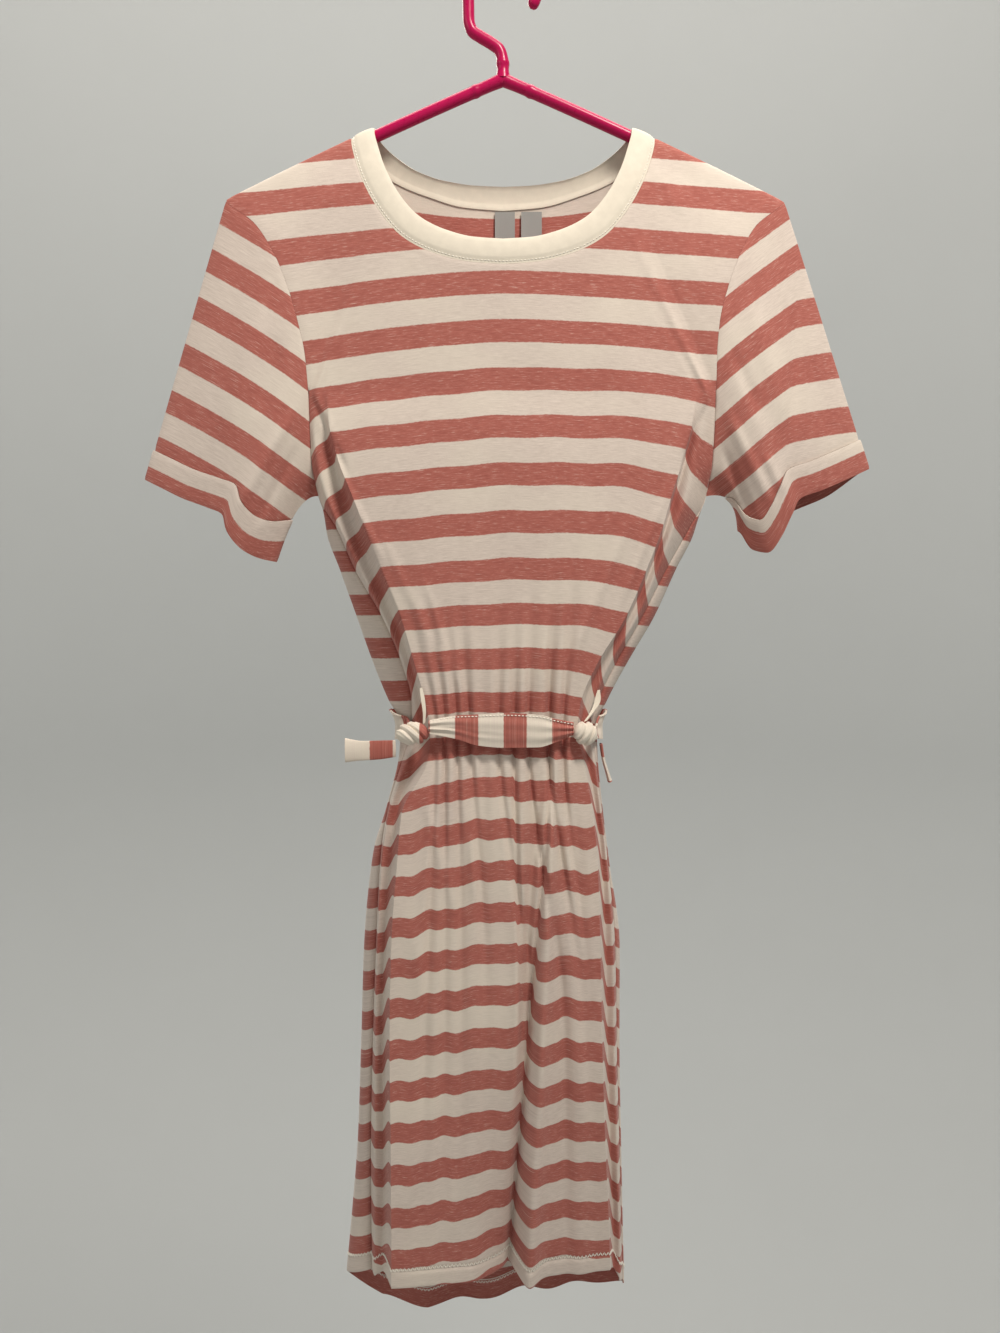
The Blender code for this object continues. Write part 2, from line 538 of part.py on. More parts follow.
def loose_cloth(name, grid, material, wall):
    """A piece that is sewn to nothing, from one grid of outer points."""
    sheet = Sheet(name, material, wall)
    sheet.add_grid(grid)
    return sheet.make(sewn_normals([sheet])[0])


def place(name, mesh, material):
    """Put a mesh in the dress's collection with its material, shaded smooth."""
    piece = bpy.data.objects.new(name, mesh)
    mesh.materials.clear()
    mesh.materials.append(material)
    mesh.shade_smooth()
    mesh.set_sharp_from_angle(angle=math.radians(50))
    bpy.data.collections["mini_dress"].objects.link(piece)
    return piece


def finish_material(name, colour, roughness):
    """A plain principled material."""
    material = bpy.data.materials.new(name)
    material.use_nodes = True
    shader = material.node_tree.nodes["Principled BSDF"]
    shader.inputs["Base Color"].default_value = (*colour, 1.0)
    shader.inputs["Roughness"].default_value = roughness
    material.diffuse_color = (*colour, 1.0)
    return material


def panel_sheet(name, facing, lower, material):
    """A front or back panel: its grid up to the chest row and the fan of rays above."""
    sheet = Sheet(name, material)
    number = sheet.add_grid(lower)
    fan = yoke(lower, facing)
    ends = (fan.shape[1] - lower.shape[1]) // 2
    inside = np.zeros(fan.shape[:2], dtype=int)
    fresh = np.ones(fan.shape[:2], dtype=bool)
    fresh[0, ends:-ends] = False
    inside[fresh] = len(sheet.points) + np.arange(fresh.sum())
    inside[0, ends:-ends] = number[-1]
    sheet.points = np.concatenate([sheet.points, fan[fresh]])
    sheet.add_grid(fan, number=inside)
    return sheet


def sleeve_loop(side, lower_front, lower_back):
    """Armhole points from the underarm up the front, over the shoulder and down the back."""
    first = len(SKIRT_LEVELS) + len(BODICE_LEVELS)
    columns = (0, -1) if side == "left" else (-1, 0)
    front = np.concatenate([lower_front[first:-1, columns[0]], armhole_edge(side, -1.0)[::-1]])
    back = np.concatenate([lower_back[first:-1, columns[1]], armhole_edge(side, 1.0)[::-1]])
    return np.concatenate([front, back[-2:0:-1]])


def loop_shares(loop):
    """How far each loop point lies from the underarm, 0, to the shoulder, 1."""
    top = len(loop) // 2
    steps = np.linalg.norm(np.diff(np.concatenate([loop, loop[:1]]), axis=0), axis=1)
    up = np.concatenate(([0.0], np.cumsum(steps[:top])))
    down = np.concatenate(([0.0], np.cumsum(steps[top:])))
    return np.concatenate([up / up[-1], 1 - down[1:-1] / down[-1]])


def sleeve_points(side, loop, fractions):
    """Rows of points along the sleeve: straight lines from armhole to cuff, swollen between.

    fractions has a row for each ring and a column for each point of the loop.
    """
    top = len(loop) // 2
    share = loop_shares(loop)
    front = along(edge_points(CUFF_FRONTS[side], side, -1.0), 1 - share[:top + 1])
    back = along(edge_points(CUFF_BACKS[side], side, -1.0), 1 - share[top + 1:])
    low = np.concatenate([front, back])
    f = np.asarray(fractions)
    rows = loop[None] * (1 - f[..., None]) + low[None] * f[..., None]
    bow = 4 * f * (1 - f) * (1 - share) ** 3
    rows[..., 0] += SIDES[side] * UNDERARM_BOW[side][0] * bow
    rows[..., 2] += UNDERARM_BOW[side][1] * bow
    facing = np.where(np.arange(len(loop)) <= top, -1.0, 1.0)
    rows[..., 1] += facing * SLEEVE_SWELL * 4 * f * (1 - f) * np.sin(np.pi * share)
    return rows


def sleeve_sheets(side, loop, material):
    """A sleeve and its cuff on one armhole loop."""
    low = sleeve_points(side, loop, np.ones((1, len(loop))))[0]
    seam = 1 - CUFF_DEPTH / np.linalg.norm(low - loop, axis=1)
    steps = np.linspace(0.0, 1.0, SLEEVE_CELLS + 1)[:, None]
    sleeve_grid = sleeve_points(side, loop, steps * seam[None])
    steps = np.linspace(0.0, 1.0, CUFF_CELLS + 1)[:, None]
    cuff_grid = sleeve_points(side, loop, seam[None] + steps * (1 - seam)[None])
    order = slice(None) if side == "left" else slice(None, None, -1)
    sleeve = Sheet("sleeve_" + side, material)
    sleeve.add_grid(sleeve_grid[:, order], closed=True)
    cuff = Sheet("cuff_" + side, material)
    cuff.add_grid(cuff_grid[:, order], closed=True)
    return [sleeve, cuff]


def neckband_sheet(lower_front, lower_back, material):
    """The ring of cloth round the neck, on the panels' own neck points."""
    edges = []
    for edge in ("seam", "free"):
        front = neck_line(-1.0, edge, lower_front.shape[1] - 1)
        back = neck_line(1.0, edge, lower_back.shape[1] - 1)
        edges.append(np.concatenate([front, back[-2:0:-1]]))
    seam, free = edges
    middle = (seam + free) / 2
    around = np.roll(middle, -1, axis=0) - np.roll(middle, 1, axis=0)
    normal = np.cross(around, free - seam)
    middle = middle + BAND_CROWN * normal / np.linalg.norm(normal, axis=1)[:, None]
    sheet = Sheet("neckband", material)
    sheet.add_grid(np.stack([seam, middle, free]), closed=True)
    return sheet


def ribbon(name, route, widths, wall, material, cells=12, tilt=(0.0, 0.0, 1.0)):
    """A flat strip along a route; tilt is the direction of its width."""
    fractions = np.linspace(0.0, 1.0, cells + 1)
    middle = along(route, fractions)
    width = pchip(np.linspace(0.0, 1.0, len(widths)), widths, fractions)
    tilt = np.asarray(tilt) / np.linalg.norm(tilt)
    across = np.linspace(-0.5, 0.5, 3)
    grid = middle[None] + across[:, None, None] * width[None, :, None] * tilt
    loose_cloth(name, grid, material, wall)


def make_belt(materials):
    """The belt: front length, back length, two knots, the loose tail and the short end."""
    fractions = np.linspace(0.0, 1.0, BELT_FRONT_CELLS + 1)
    table = np.array(BELT_FRONT)
    line = along(table, fractions)
    across = np.linspace(0.0, 1.0, 4)[:, None]
    x = np.repeat(line[None, :, 0], 4, axis=0)
    y = -line[None, :, 1] - BELT_CROWN * 4 * across * (1 - across)
    z = line[None, :, 3] * (1 - across) + line[None, :, 2] * across
    grid = np.stack([x, y, z], axis=-1)
    loose_cloth("belt_front", grid, materials["stripe"], BELT_WALL)

    rows = np.linspace(-0.5, 0.5, 3) * BELT_WIDTH + WAIST_Z
    fractions = np.linspace(0.0, 1.0, BELT_BACK_CELLS + 1)
    grid = np.zeros((len(rows), len(fractions), 3))
    for row, level in enumerate(rows):
        grid[row, :, :2] = along(belt_path(level), fractions)
        grid[row, :, 2] = level
    loose_cloth("belt_back", grid, materials["stripe"], BELT_WALL)

    for side, knot in KNOTS.items():
        make_knot("belt_knot_" + side, knot, materials["cream"])
    ribbon("belt_tail", TAIL_ROUTE, TAIL_WIDTHS, BELT_WALL, materials["stripe"])
    ribbon("belt_end", END_ROUTE, END_WIDTHS, BELT_WALL, materials["stripe"], cells=6,
           tilt=(0.0, 1.0, 0.0))


def belt_path(level):
    """The belt's outer line round the back at one height, right knot to left knot."""
    out = BELT_CLEARANCE + BELT_WALL
    ends = []
    for side in ("right", "left"):
        sign = SIDES[side]
        roll = np.ravel(station(side, "roll", np.array([float(level)])))
        turn = back_turn(side, np.array([float(level)]))[0, :, :2]
        last = turn[-1] + (-sign * 5.0, 2.5)
        chain = np.concatenate([[(roll[0], KNOTS[side].belt_y)], turn, [last]])
        heading = np.gradient(chain, axis=0)
        heading /= np.linalg.norm(heading, axis=1)[:, None]
        ends.append(chain + sign * out * np.stack([heading[:, 1], -heading[:, 0]], axis=-1))
    return np.concatenate([ends[0], BELT_BACK_MIDDLE, ends[1][::-1]])


def make_knot(name, knot, material):
    """A knot: a ball of cloth whose three wraps swell round it aslant."""
    mesh = bpy.data.meshes.new(name)
    shape = bmesh.new()
    bmesh.ops.create_uvsphere(shape, u_segments=20, v_segments=12, radius=1.0)
    for vertex in shape.verts:
        x, y, z = vertex.co
        wraps = 1 + WRAP_SWELL * math.cos(WRAP_TURNS * (x + WRAP_SLANT * z))
        vertex.co = Vector((knot.x + knot.half_width * x * wraps, knot.y + knot.half_depth * y * wraps,
                            knot.z + knot.half_height * z * wraps)) * MM
    shape.to_mesh(mesh)
    shape.free()
    place(name, mesh, material)


def make_labels(inner, faces, material):
    """The two bare labels that hang from the back neck seam against the inside of the back."""
    tree = BVHTree.FromPolygons([Vector(point) for point in inner], faces.tolist())
    for label in LABELS:
        grid = np.zeros((4, 3, 3))
        for row, share in enumerate(np.linspace(1.0, 0.0, 4)):
            for column, side in enumerate(np.linspace(0.5, -0.5, 3)):
                x = label.x + side * label.width
                z = LABEL_TOP_Z - share * label.length
                hit = tree.ray_cast(Vector((x, 0.0, z)), Vector((0.0, 1.0, 0.0)))[0]
                grid[row, column] = (x, hit.y - SEAM_GAP, z)
        grid[..., 1] = grid[..., 1].min()
        loose_cloth(label.name, grid, material, LABEL_WALL)


def tube(name, points, material, closed=False):
    """A round tube along a route, as a mesh with welded caps."""
    curve = bpy.data.curves.new(name, "CURVE")
    curve.dimensions = "3D"
    curve.bevel_depth = TUBE_RADIUS * MM
    curve.bevel_resolution = TUBE_SIDES
    curve.use_fill_caps = True
    spline = curve.splines.new("POLY")
    spline.points.add(len(points) - 1)
    for target, (x, y, z) in zip(spline.points, points):
        target.co = (x * MM, y * MM, z * MM, 1.0)
    spline.use_cyclic_u = closed
    guide = bpy.data.objects.new(name, curve)
    bpy.data.collections["mini_dress"].objects.link(guide)
    evaluated = guide.evaluated_get(bpy.context.evaluated_depsgraph_get())
    mesh = bpy.data.meshes.new_from_object(evaluated)
    bpy.data.objects.remove(guide)
    shape = bmesh.new()
    shape.from_mesh(mesh)
    bmesh.ops.remove_doubles(shape, verts=shape.verts, dist=0.00001)
    bmesh.ops.recalc_face_normals(shape, faces=shape.faces)
    shape.to_mesh(mesh)
    shape.free()
    return place(name, mesh, material)


def hook_route():
    """The hook from its tip over the top, down the stem and through its bend to the junction."""
    centre_z = TUBE_RADIUS - HOOK_RADIUS
    angles = np.radians(np.linspace(HOOK_TIP_ANGLE, 180.0, HOOK_CELLS))
    arc = [(HOOK_RADIUS * math.cos(a), 0.0, centre_z + HOOK_RADIUS * math.sin(a)) for a in angles]
    return arc + along(STEM_ROUTE, np.linspace(0.0, 1.0, HOOK_CELLS)).tolist()


def frame_route():
    """The hanger's closed triangle: arms, end bends and lower bar."""
    half = [(x, 0.0, arm_z(x)) for x in np.linspace(0.0, ARM_END_X, 7)[1:]]
    start = -math.atan(ARM_SLOPE + 2 * ARM_DROOP * ARM_END_X)
    centre_x = ARM_END_X + END_BEND_RADIUS * math.sin(start)
    centre_z = arm_z(ARM_END_X) - END_BEND_RADIUS * math.cos(start)
    for angle in np.linspace(start, -math.pi, 9)[1:]:
        half.append((centre_x - END_BEND_RADIUS * math.sin(angle), 0.0,
                     centre_z + END_BEND_RADIUS * math.cos(angle)))
    mirrored = [(-x, y, z) for x, y, z in half[::-1]]
    return [(0.0, 0.0, arm_z(0.0))] + half + mirrored


def make_hanger(material):
    """Hook and triangle joined into one body."""
    hanger = tube("hanger", frame_route(), material, closed=True)
    hook = tube("hook", hook_route(), material)
    union = hanger.modifiers.new("hook", "BOOLEAN")
    union.operation = "UNION"
    union.object = hook
    evaluated = hanger.evaluated_get(bpy.context.evaluated_depsgraph_get())
    mesh = bpy.data.meshes.new_from_object(evaluated)
    hanger.modifiers.clear()
    hanger.data = mesh
    mesh.shade_smooth()
    mesh.set_sharp_from_angle(angle=math.radians(50))
    bpy.data.objects.remove(hook)


def clear_scene():
    """Start from an empty scene with one collection for the dress."""
    for item in list(bpy.data.objects):
        bpy.data.objects.remove(item)
    collection = bpy.data.collections.new("mini_dress")
    bpy.context.scene.collection.children.link(collection)


def main():
    """Make every piece of the dress and its hanger."""
    clear_scene()
    materials = {
        "stripe": finish_material("striped_jersey", PINK, 0.9),
        "cream": finish_material("cream_jersey", CREAM, 0.9),
        "grey": finish_material("woven_label", GREY, 0.7),
    }
    levels = np.array(SKIRT_LEVELS + BODICE_LEVELS + CHEST_LEVELS, dtype=float)
    lower_front = front_lower(levels)
    lower_back = back_lower(levels)
    front = panel_sheet("front", -1.0, lower_front, materials["stripe"])
    back = panel_sheet("back", 1.0, lower_back, materials["stripe"])
    sheets = [front, back, neckband_sheet(lower_front, lower_back, materials["cream"])]
    underarms = []
    for side, sign in SIDES.items():
        loop = sleeve_loop(side, lower_front, lower_back)
        sheets += sleeve_sheets(side, loop, materials["stripe"])
        underarms.append((loop[0], (sign * UNDERARM_OUT, 0.0, -UNDERARM_DOWN)))
    inner = {}
    for sheet, normals in zip(sheets, sewn_normals(sheets, underarms)):
        inner[sheet.name] = sheet.make(normals, gap=SEAM_GAP / 2)
    make_labels(inner["back"], back.faces, materials["grey"])
    make_belt(materials)
    for side in SIDES:
        ribbon("belt_loop_" + side, CARRIER_ROUTES[side], CARRIER_WIDTHS[side], CARRIER_WALL,
               materials["cream"], cells=8, tilt=(1.0, 0.0, 0.3))
    make_hanger(finish_material("hanger_plastic", MAGENTA, 0.3))


main()
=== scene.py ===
"""Looks for the striped mini dress on its hanger.

Numbers in the tables are millimetres and become metres where a mesh is made. X runs across the dress,
Y away from its front, Z up, and the origin is where the hanger's hook rests. Left and right are those
of someone who looks at the front. The cloth follows the solids' own sections on a finer grid, and every
point carries its stripe course: how far along the stripes it lies, zero in the middle of a pink band.
"""

from collections import namedtuple
import functools
import math

import bpy
import numpy as np
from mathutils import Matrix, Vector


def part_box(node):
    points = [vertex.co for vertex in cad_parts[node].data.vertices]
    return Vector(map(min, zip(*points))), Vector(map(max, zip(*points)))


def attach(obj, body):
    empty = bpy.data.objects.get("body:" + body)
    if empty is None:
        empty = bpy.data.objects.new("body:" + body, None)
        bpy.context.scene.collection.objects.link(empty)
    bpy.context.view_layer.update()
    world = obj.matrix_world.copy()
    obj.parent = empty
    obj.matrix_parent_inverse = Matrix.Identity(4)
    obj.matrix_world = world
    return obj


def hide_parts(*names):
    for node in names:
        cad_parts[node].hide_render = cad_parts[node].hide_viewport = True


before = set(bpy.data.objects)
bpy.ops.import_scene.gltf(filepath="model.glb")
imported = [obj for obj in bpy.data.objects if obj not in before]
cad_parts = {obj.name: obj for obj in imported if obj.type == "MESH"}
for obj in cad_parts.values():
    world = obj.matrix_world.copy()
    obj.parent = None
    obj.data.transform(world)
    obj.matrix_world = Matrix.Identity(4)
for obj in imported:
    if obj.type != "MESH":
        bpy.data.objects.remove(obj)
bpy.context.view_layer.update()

bl_info = {
    "name": "Striped mini dress",
    "version": (1, 0, 0),
    "blender": (4, 2, 0),
    "location": "3D View > Sidebar > Dress",
    "description": "Builds the looks of a striped mini dress on a hanger",
    "category": "Object",
}

MM = 0.001

# Heights of the main levels and how finely they and the columns are cut
HEM_Z = -985.0
WAIST_Z = -560.0
UNDERARM_Z = -385.0
LEVELS = (-985, -948, -905, -855, -802, -748, -695, -648, -614, -590, -573, -560, -547, -530, -508, -480,
          -450, -417, -385, -363, -339, -312)
UNDERARM_LEVEL = 18
LEVEL_SPLIT = 6
CELL_SPLIT = 5
YOKE_STEPS = (1.0, 0.81, 0.62, 0.43, 0.24, 0.07, 0.0)
YOKE_SPLIT = 4
SIDE_CELLS = 6
FACE_CELLS = 30
BACK_EDGE_CELLS = 3
BACK_FACE_CELLS = 28
SLEEVE_ROWS = 44
CUFF_ROWS = 10
BAND_ROWS = 10
SHARP_ANGLE = 60.0

# The turned hem: rows above it that are cut finer, and by how much; the course in the middle of the part
# turned up; its dent's place as a share of the stitches' height; its step and dent
HEM_ROWS = 4
HEM_SPLIT = 5
HEM_TURN_COURSE = -792.0
HEM_DENT_PLACE = 0.93
HEM_STEP = 0.5
HEM_STEP_SPREAD = 0.6
HEM_DENT = 0.9
HEM_DENT_WIDTH = 1.9

# Hanger and shoulders, and how finely each part of the hanger is cut
HANGER_SIDES = 28
HOOK_CELLS = 64
STEM_CELLS = 60
ARM_CELLS = 160
BEND_CELLS = 40
BAR_CELLS = 60
HOOK_RADIUS = 25.0
HOOK_TIP_ANGLE = -38.0
STEM_ROUTE = ((-25.0, -30.0), (-24.8, -44.0), (-22.5, -51.5), (-16.5, -55.8), (-8.5, -60.4),
              (-2.8, -64.8), (-0.5, -71.0), (0.0, -78.0), (0.0, -85.5))
JUNCTION_Z = -85.5
ARM_SLOPE = 0.41
ARM_DROOP = 0.00018
ARM_END_X = 179.0
END_BEND_RADIUS = 21.0
CREST_RISE = 6.6
CREST_SHOULDER_DEPTH = 4.6
CREST_SHOULDER_DROP = 2.3
SHOULDER_TIP_X = {"left": 202.0, "right": 205.5}
# Raised rings on the hanger's tube: place, width and height of each; they are on its arms, above this
# height, and on the stem, from its lower end
Ring = namedtuple("Ring", "place width height")
ARM_RING = Ring(20.0, 1.6, 0.5)
MIDDLE_RING = Ring(0.0, 7.0, 0.5)
STEM_RING = Ring(11.0, 2.2, 0.7)
STEM_FOOT = Ring(0.0, 4.0, 1.2)
ARM_RINGS_ABOVE = -110.0
# The hook's tip is rounded down to this share of the tube's section
BLUNTEST_TIP = 0.02

SIDES = {"left": -1.0, "right": 1.0}

# A row for each level: how far out and how far back each station of the section lies
Side = namedtuple("Side", "z crease_x crease_y valley_x valley_y roll_x roll_y seam_x seam_y edge_x edge_y")
LEFT_SIDE = (
    Side(-312, 128.0, -20, 132.5, -19, 137.0, -18, 142.0, -17, 132.0, 20),
    Side(-339, 125.5, -24, 130.5, -17, 137.5, -17, 142.0, -14, 133.0, 20),
    Side(-363, 119.0, -26, 125.0, -13, 135.0, -17, 141.8, -10, 136.0, 19),
    Side(-385, 110.0, -27, 119.0, -12, 130.0, -16, 139.0, -1, 137.5, 17),
    Side(-410, 100.5, -27, 110.5, -11, 120.0, -15, 125.0, -2, 136.0, 19),
    Side(-440, 89.0, -27, 98.0, -12, 106.0, -14, 112.0, -3, 126.0, 19),
    Side(-475, 75.0, -27, 83.0, -13, 88.5, -14, 92.0, -4, 114.0, 19),
    Side(-510, 65.0, -27, 70.0, -14, 74.0, -14, 77.5, -4, 102.0, 19),
    Side(-540, 57.0, -26, 62.0, -15, 66.5, -14, 70.0, -3, 90.0, 18),
    Side(-560, 54.0, -26, 59.5, -14, 65.0, -15, 70.0, -2, 80.0, 17),
    Side(-580, 55.5, -28, 64.0, -13, 71.0, -16, 76.0, -3, 81.0, 17),
    Side(-620, 75.0, -31, 80.0, -13, 85.5, -16, 88.5, -3, 91.0, 18),
    Side(-655, 78.5, -33, 86.0, -13, 91.5, -15, 94.5, -3, 102.5, 19),
    Side(-725, 83.5, -36, 91.0, -14, 96.0, -15, 99.0, -3, 111.0, 21),
    Side(-800, 85.0, -39, 93.0, -15, 98.0, -16, 102.5, -3, 114.5, 23),
    Side(-880, 84.5, -42, 93.0, -17, 99.0, -17, 105.0, -3, 118.5, 24),
    Side(-940, 84.5, -44, 94.0, -18, 100.0, -17, 105.5, -2, 124.0, 21),
    Side(-990, 85.0, -45, 95.0, -19, 101.0, -17, 105.5, -2, 129.0, 16),
)
RIGHT_SIDE = (
    Side(-312, 141.0, -20, 145.5, -19, 150.5, -18, 155.5, -17, 145.0, 20),
    Side(-339, 136.5, -23, 140.0, -18, 145.0, -18, 155.5, -14, 147.0, 20),
    Side(-363, 130.0, -25, 133.5, -15, 138.5, -18, 155.2, -10, 150.0, 19),
    Side(-385, 123.0, -26, 127.5, -14, 134.5, -18, 153.0, -1, 151.5, 17),
    Side(-410, 116.0, -27, 120.5, -14, 125.0, -18, 140.0, -2, 147.5, 19),
    Side(-440, 105.0, -27, 110.0, -14, 114.0, -17, 123.5, -3, 133.5, 19),
    Side(-475, 90.0, -27, 95.0, -14, 99.5, -16, 106.0, -3, 118.0, 19),
    Side(-510, 69.0, -27, 74.5, -14, 79.5, -15, 86.5, -3, 98.0, 19),
    Side(-540, 57.0, -27, 62.0, -15, 67.0, -14, 73.0, -3, 82.0, 18),
    Side(-560, 55.0, -27, 59.5, -15, 64.0, -15, 68.0, -2, 73.5, 17),
    Side(-580, 59.5, -28, 64.0, -14, 68.0, -15, 71.0, -3, 74.0, 17),
    Side(-620, 66.5, -30, 70.5, -13, 74.0, -15, 76.5, -3, 78.0, 18),
    Side(-655, 70.5, -31, 75.0, -13, 78.5, -15, 81.0, -3, 83.0, 19),
    Side(-725, 73.0, -33, 79.0, -14, 84.0, -16, 88.0, -3, 93.5, 21),
    Side(-800, 75.0, -34, 81.0, -15, 86.0, -17, 90.0, -3, 94.0, 22),
    Side(-880, 78.5, -31, 84.0, -14, 89.0, -16, 93.0, -3, 96.0, 22),
    Side(-940, 82.0, -27, 87.0, -11, 91.5, -14, 95.0, -2, 98.0, 20),
    Side(-990, 84.0, -24, 88.5, -11, 92.8, -12, 97.0, -2, 99.5, 16),
)
SIDE_TABLES = {"left": LEFT_SIDE, "right": RIGHT_SIDE}

# The armhole seam from the chest row to the shoulder's edge
Edge = namedtuple("Edge", "x depth z")
ARMHOLES = {
    "left": (Edge(142, 17, -312), Edge(143.8, 18, -286), Edge(149, 18, -260), Edge(157, 16.5, -233),
             Edge(168, 14, -208), Edge(182, 10, -188), Edge(198.5, 6.4, -176)),
    "right": (Edge(155.5, 17, -312), Edge(155.5, 18, -288), Edge(157, 18, -262), Edge(162.5, 16.5, -238),
              Edge(172, 14, -212), Edge(184, 10, -191), Edge(201.5, 6.4, -177)),
}

# Neckband, shoulder to centre: its seam edge and its free edge
Band = namedtuple("Band", "seam_x seam_depth seam_z free_x free_depth free_z")
FRONT_BAND = (
    Band(110.5, 0.0, -126.4, 94.0, 0.0, -119.0), Band(110.2, 4.7, -128.4, 93.5, 4.7, -121.0),
    Band(109.8, 6.9, -133.0, 92.8, 6.9, -126.0), Band(108.0, 9.0, -141.0, 90.5, 9.0, -134.5),
    Band(102.5, 13.0, -158.0, 85.5, 13.0, -150.0),
    Band(90.5, 17.0, -181.0, 75.0, 16.5, -170.5), Band(72.5, 20.0, -202.0, 60.0, 19.0, -187.5),
    Band(50.0, 22.0, -214.0, 41.0, 21.0, -197.5), Band(25.0, 23.5, -220.5, 20.5, 22.0, -202.8),
    Band(0.0, 24.0, -222.5, 0.0, 22.5, -204.3),
)
BACK_BAND = (
    Band(110.5, 0.0, -126.4, 94.0, 0.0, -119.0), Band(109.8, 4.7, -128.4, 93.0, 4.7, -120.8),
    Band(108.0, 7.2, -132.8, 90.8, 7.2, -124.8), Band(96.0, 12.5, -142.5, 77.5, 12.5, -136.0),
    Band(80.0, 16.0, -152.5, 62.0, 15.5, -144.3), Band(57.0, 18.5, -161.0, 43.0, 17.0, -149.8),
    Band(29.0, 20.0, -168.5, 21.0, 18.0, -152.8), Band(0.0, 20.5, -170.8, 0.0, 18.5, -153.6),
)
# The band's crown, the dent under its stitches, and the share of its seam that faces an armhole
BAND_CROWN = 0.9
BAND_DENT = 0.7
ARMHOLE_NECK_SHARE = 0.34

# Gathers and rolls: where each runs at five levels, its width there and how far it stands out
FOLD_LEVELS = (-400.0, -450.0, -560.0, -780.0, -985.0)
Fold = namedtuple("Fold", "bust_x waist_x skirt_x hem_x waist_width hem_width bust waist skirt hem")
FRONT_FOLDS = (
    Fold(-62, -47.0, -66, -70, 3.6, 9, 0.8, 3.0, 0.6, 0.0),
    Fold(-50, -38.5, -50, -56, 3.4, 9, 0.6, 3.4, 1.2, 0.0),
    Fold(-38, -29.5, -38, -42, 3.4, 9, 0.5, 2.8, 0.5, 0.0),
    Fold(-24, -20.0, -23, -25, 3.8, 10, 0.7, 3.2, 1.0, 0.5),
    Fold(-8, -8.5, -7, -12, 4.2, 12, 0.4, 2.6, 0.6, 0.0),
    Fold(4, 2.5, 3, 2, 3.8, 16, 0.4, 2.4, 0.0, -11.0),
    Fold(15, 14.0, 13, 6, 4.0, 8, 0.6, 3.8, 3.5, -3.0),
    Fold(26, 23.0, 17, 4, 3.2, 6, 0.4, 0.6, -8.0, -2.0),
    Fold(32, 28.0, 37, 40, 3.6, 8, 0.5, 2.6, 0.0, 0.0),
    Fold(44, 39.5, 30, 20, 3.6, 9, 0.9, 4.0, 8.5, 17.0),
    Fold(58, 49.0, 55, 62, 3.2, 9, 1.0, 3.2, 1.4, 1.5),
)
# Sharper creases that only the finer cloth shows
FINE_FOLDS = (
    Fold(-70, -50.5, -58, -63, 1.8, 5, -0.4, -3.4, -1.7, -0.4),
    Fold(-55, -43, -44, -49, 1.7, 6, -0.4, -3.7, -2.1, -0.4),
    Fold(-42, -34, -31, -34, 1.6, 6, -0.2, -3.1, -1.5, -0.4),
    Fold(-31, -24.5, -12, -14, 1.8, 7, -0.3, -3.4, -1.1, -0.4),
    Fold(-2, -3, 22, 24, 1.7, 7, -0.2, -3.1, -2.3, -1),
    Fold(21, 18.6, 46, 50, 1.6, 6, -0.4, -3.7, -2.7, -1.4),
    Fold(37, 33.8, 62, 70, 1.5, 6, -0.5, -4.4, -2.3, -0.4),
    Fold(51, 44.6, 68, 76, 1.5, 6, -0.6, -4.1, -1.5, -0.4),
    Fold(34, 35.4, 20, 4.5, 1.6, 2.6, -0.1, -1.6, -6, -5),
    Fold(10, 8.4, 14, 6, 1.8, 3, -0.1, -3.4, -2.8, -1),
)
BACK_FOLDS = (
    Fold(-92, -66.0, -88, -96, 4.0, 13, 0.8, 2.0, 2.5, 4.0),
    Fold(-66, -50.0, -62, -66, 3.8, 12, 0.6, 2.4, 1.0, -3.0),
    Fold(-44, -34.0, -38, -36, 4.0, 14, 0.5, 2.2, 3.0, 6.0),
    Fold(-22, -18.0, -16, -8, 4.0, 12, 0.5, 2.4, 0.8, -2.5),
    Fold(0, -2.0, 8, 16, 4.2, 14, 0.4, 2.0, 2.5, 5.0),
    Fold(22, 14.0, 28, 38, 4.0, 12, 0.5, 2.4, 0.6, -3.0),
    Fold(46, 30.0, 50, 60, 4.0, 14, 0.6, 2.2, 3.0, 4.5),
    Fold(70, 48.0, 70, 80, 3.8, 12, 0.6, 2.2, 0.8, -1.0),
)
# How much wider the folds are at the underarms, the height over which the skirt's ways set in below the
# waist, and the one over which the back's seam crosses over to the armhole's back
UNDERARM_FOLD_SPREAD = 6.0
WAIST_BLEND = 60.0
UNDERARM_OPENING = 22.0
# How far the panels' faces swell between their sides, by level
SWELL_LEVELS = (-985.0, -800.0, -600.0, -560.0, -500.0, -385.0, -312.0)
FRONT_SWELL = (0.0, 1.0, 2.0, 1.5, 2.0, 2.5, 4.5)
BACK_SWELL = (0.0, 4.0, 5.0, 4.0, 4.5, 3.0, 2.0)
# How far the hem drops below its level at the side seams and at the back's outer edges
SEAM_DROP = {"left": 15.0, "right": 24.0}
BACK_EDGE_DROP = {"left": 29.0, "right": 38.0}
# How far the back's bands hang below the front's at its middle, at the waist and at the hem, and how far
# from the middle they still do above the chest row
BACK_HANG = 16.5
BACK_HEM_HANG = 34.0
BACK_YOKE_WIDTH = 112.0
# The back's hem: its drop at places across
BACK_HEM = ((-129.0, 29.0), (-100.0, 52.0), (-62.0, 60.0), (-20.0, 55.0), (20.0, 45.0), (99.0, 38.0))

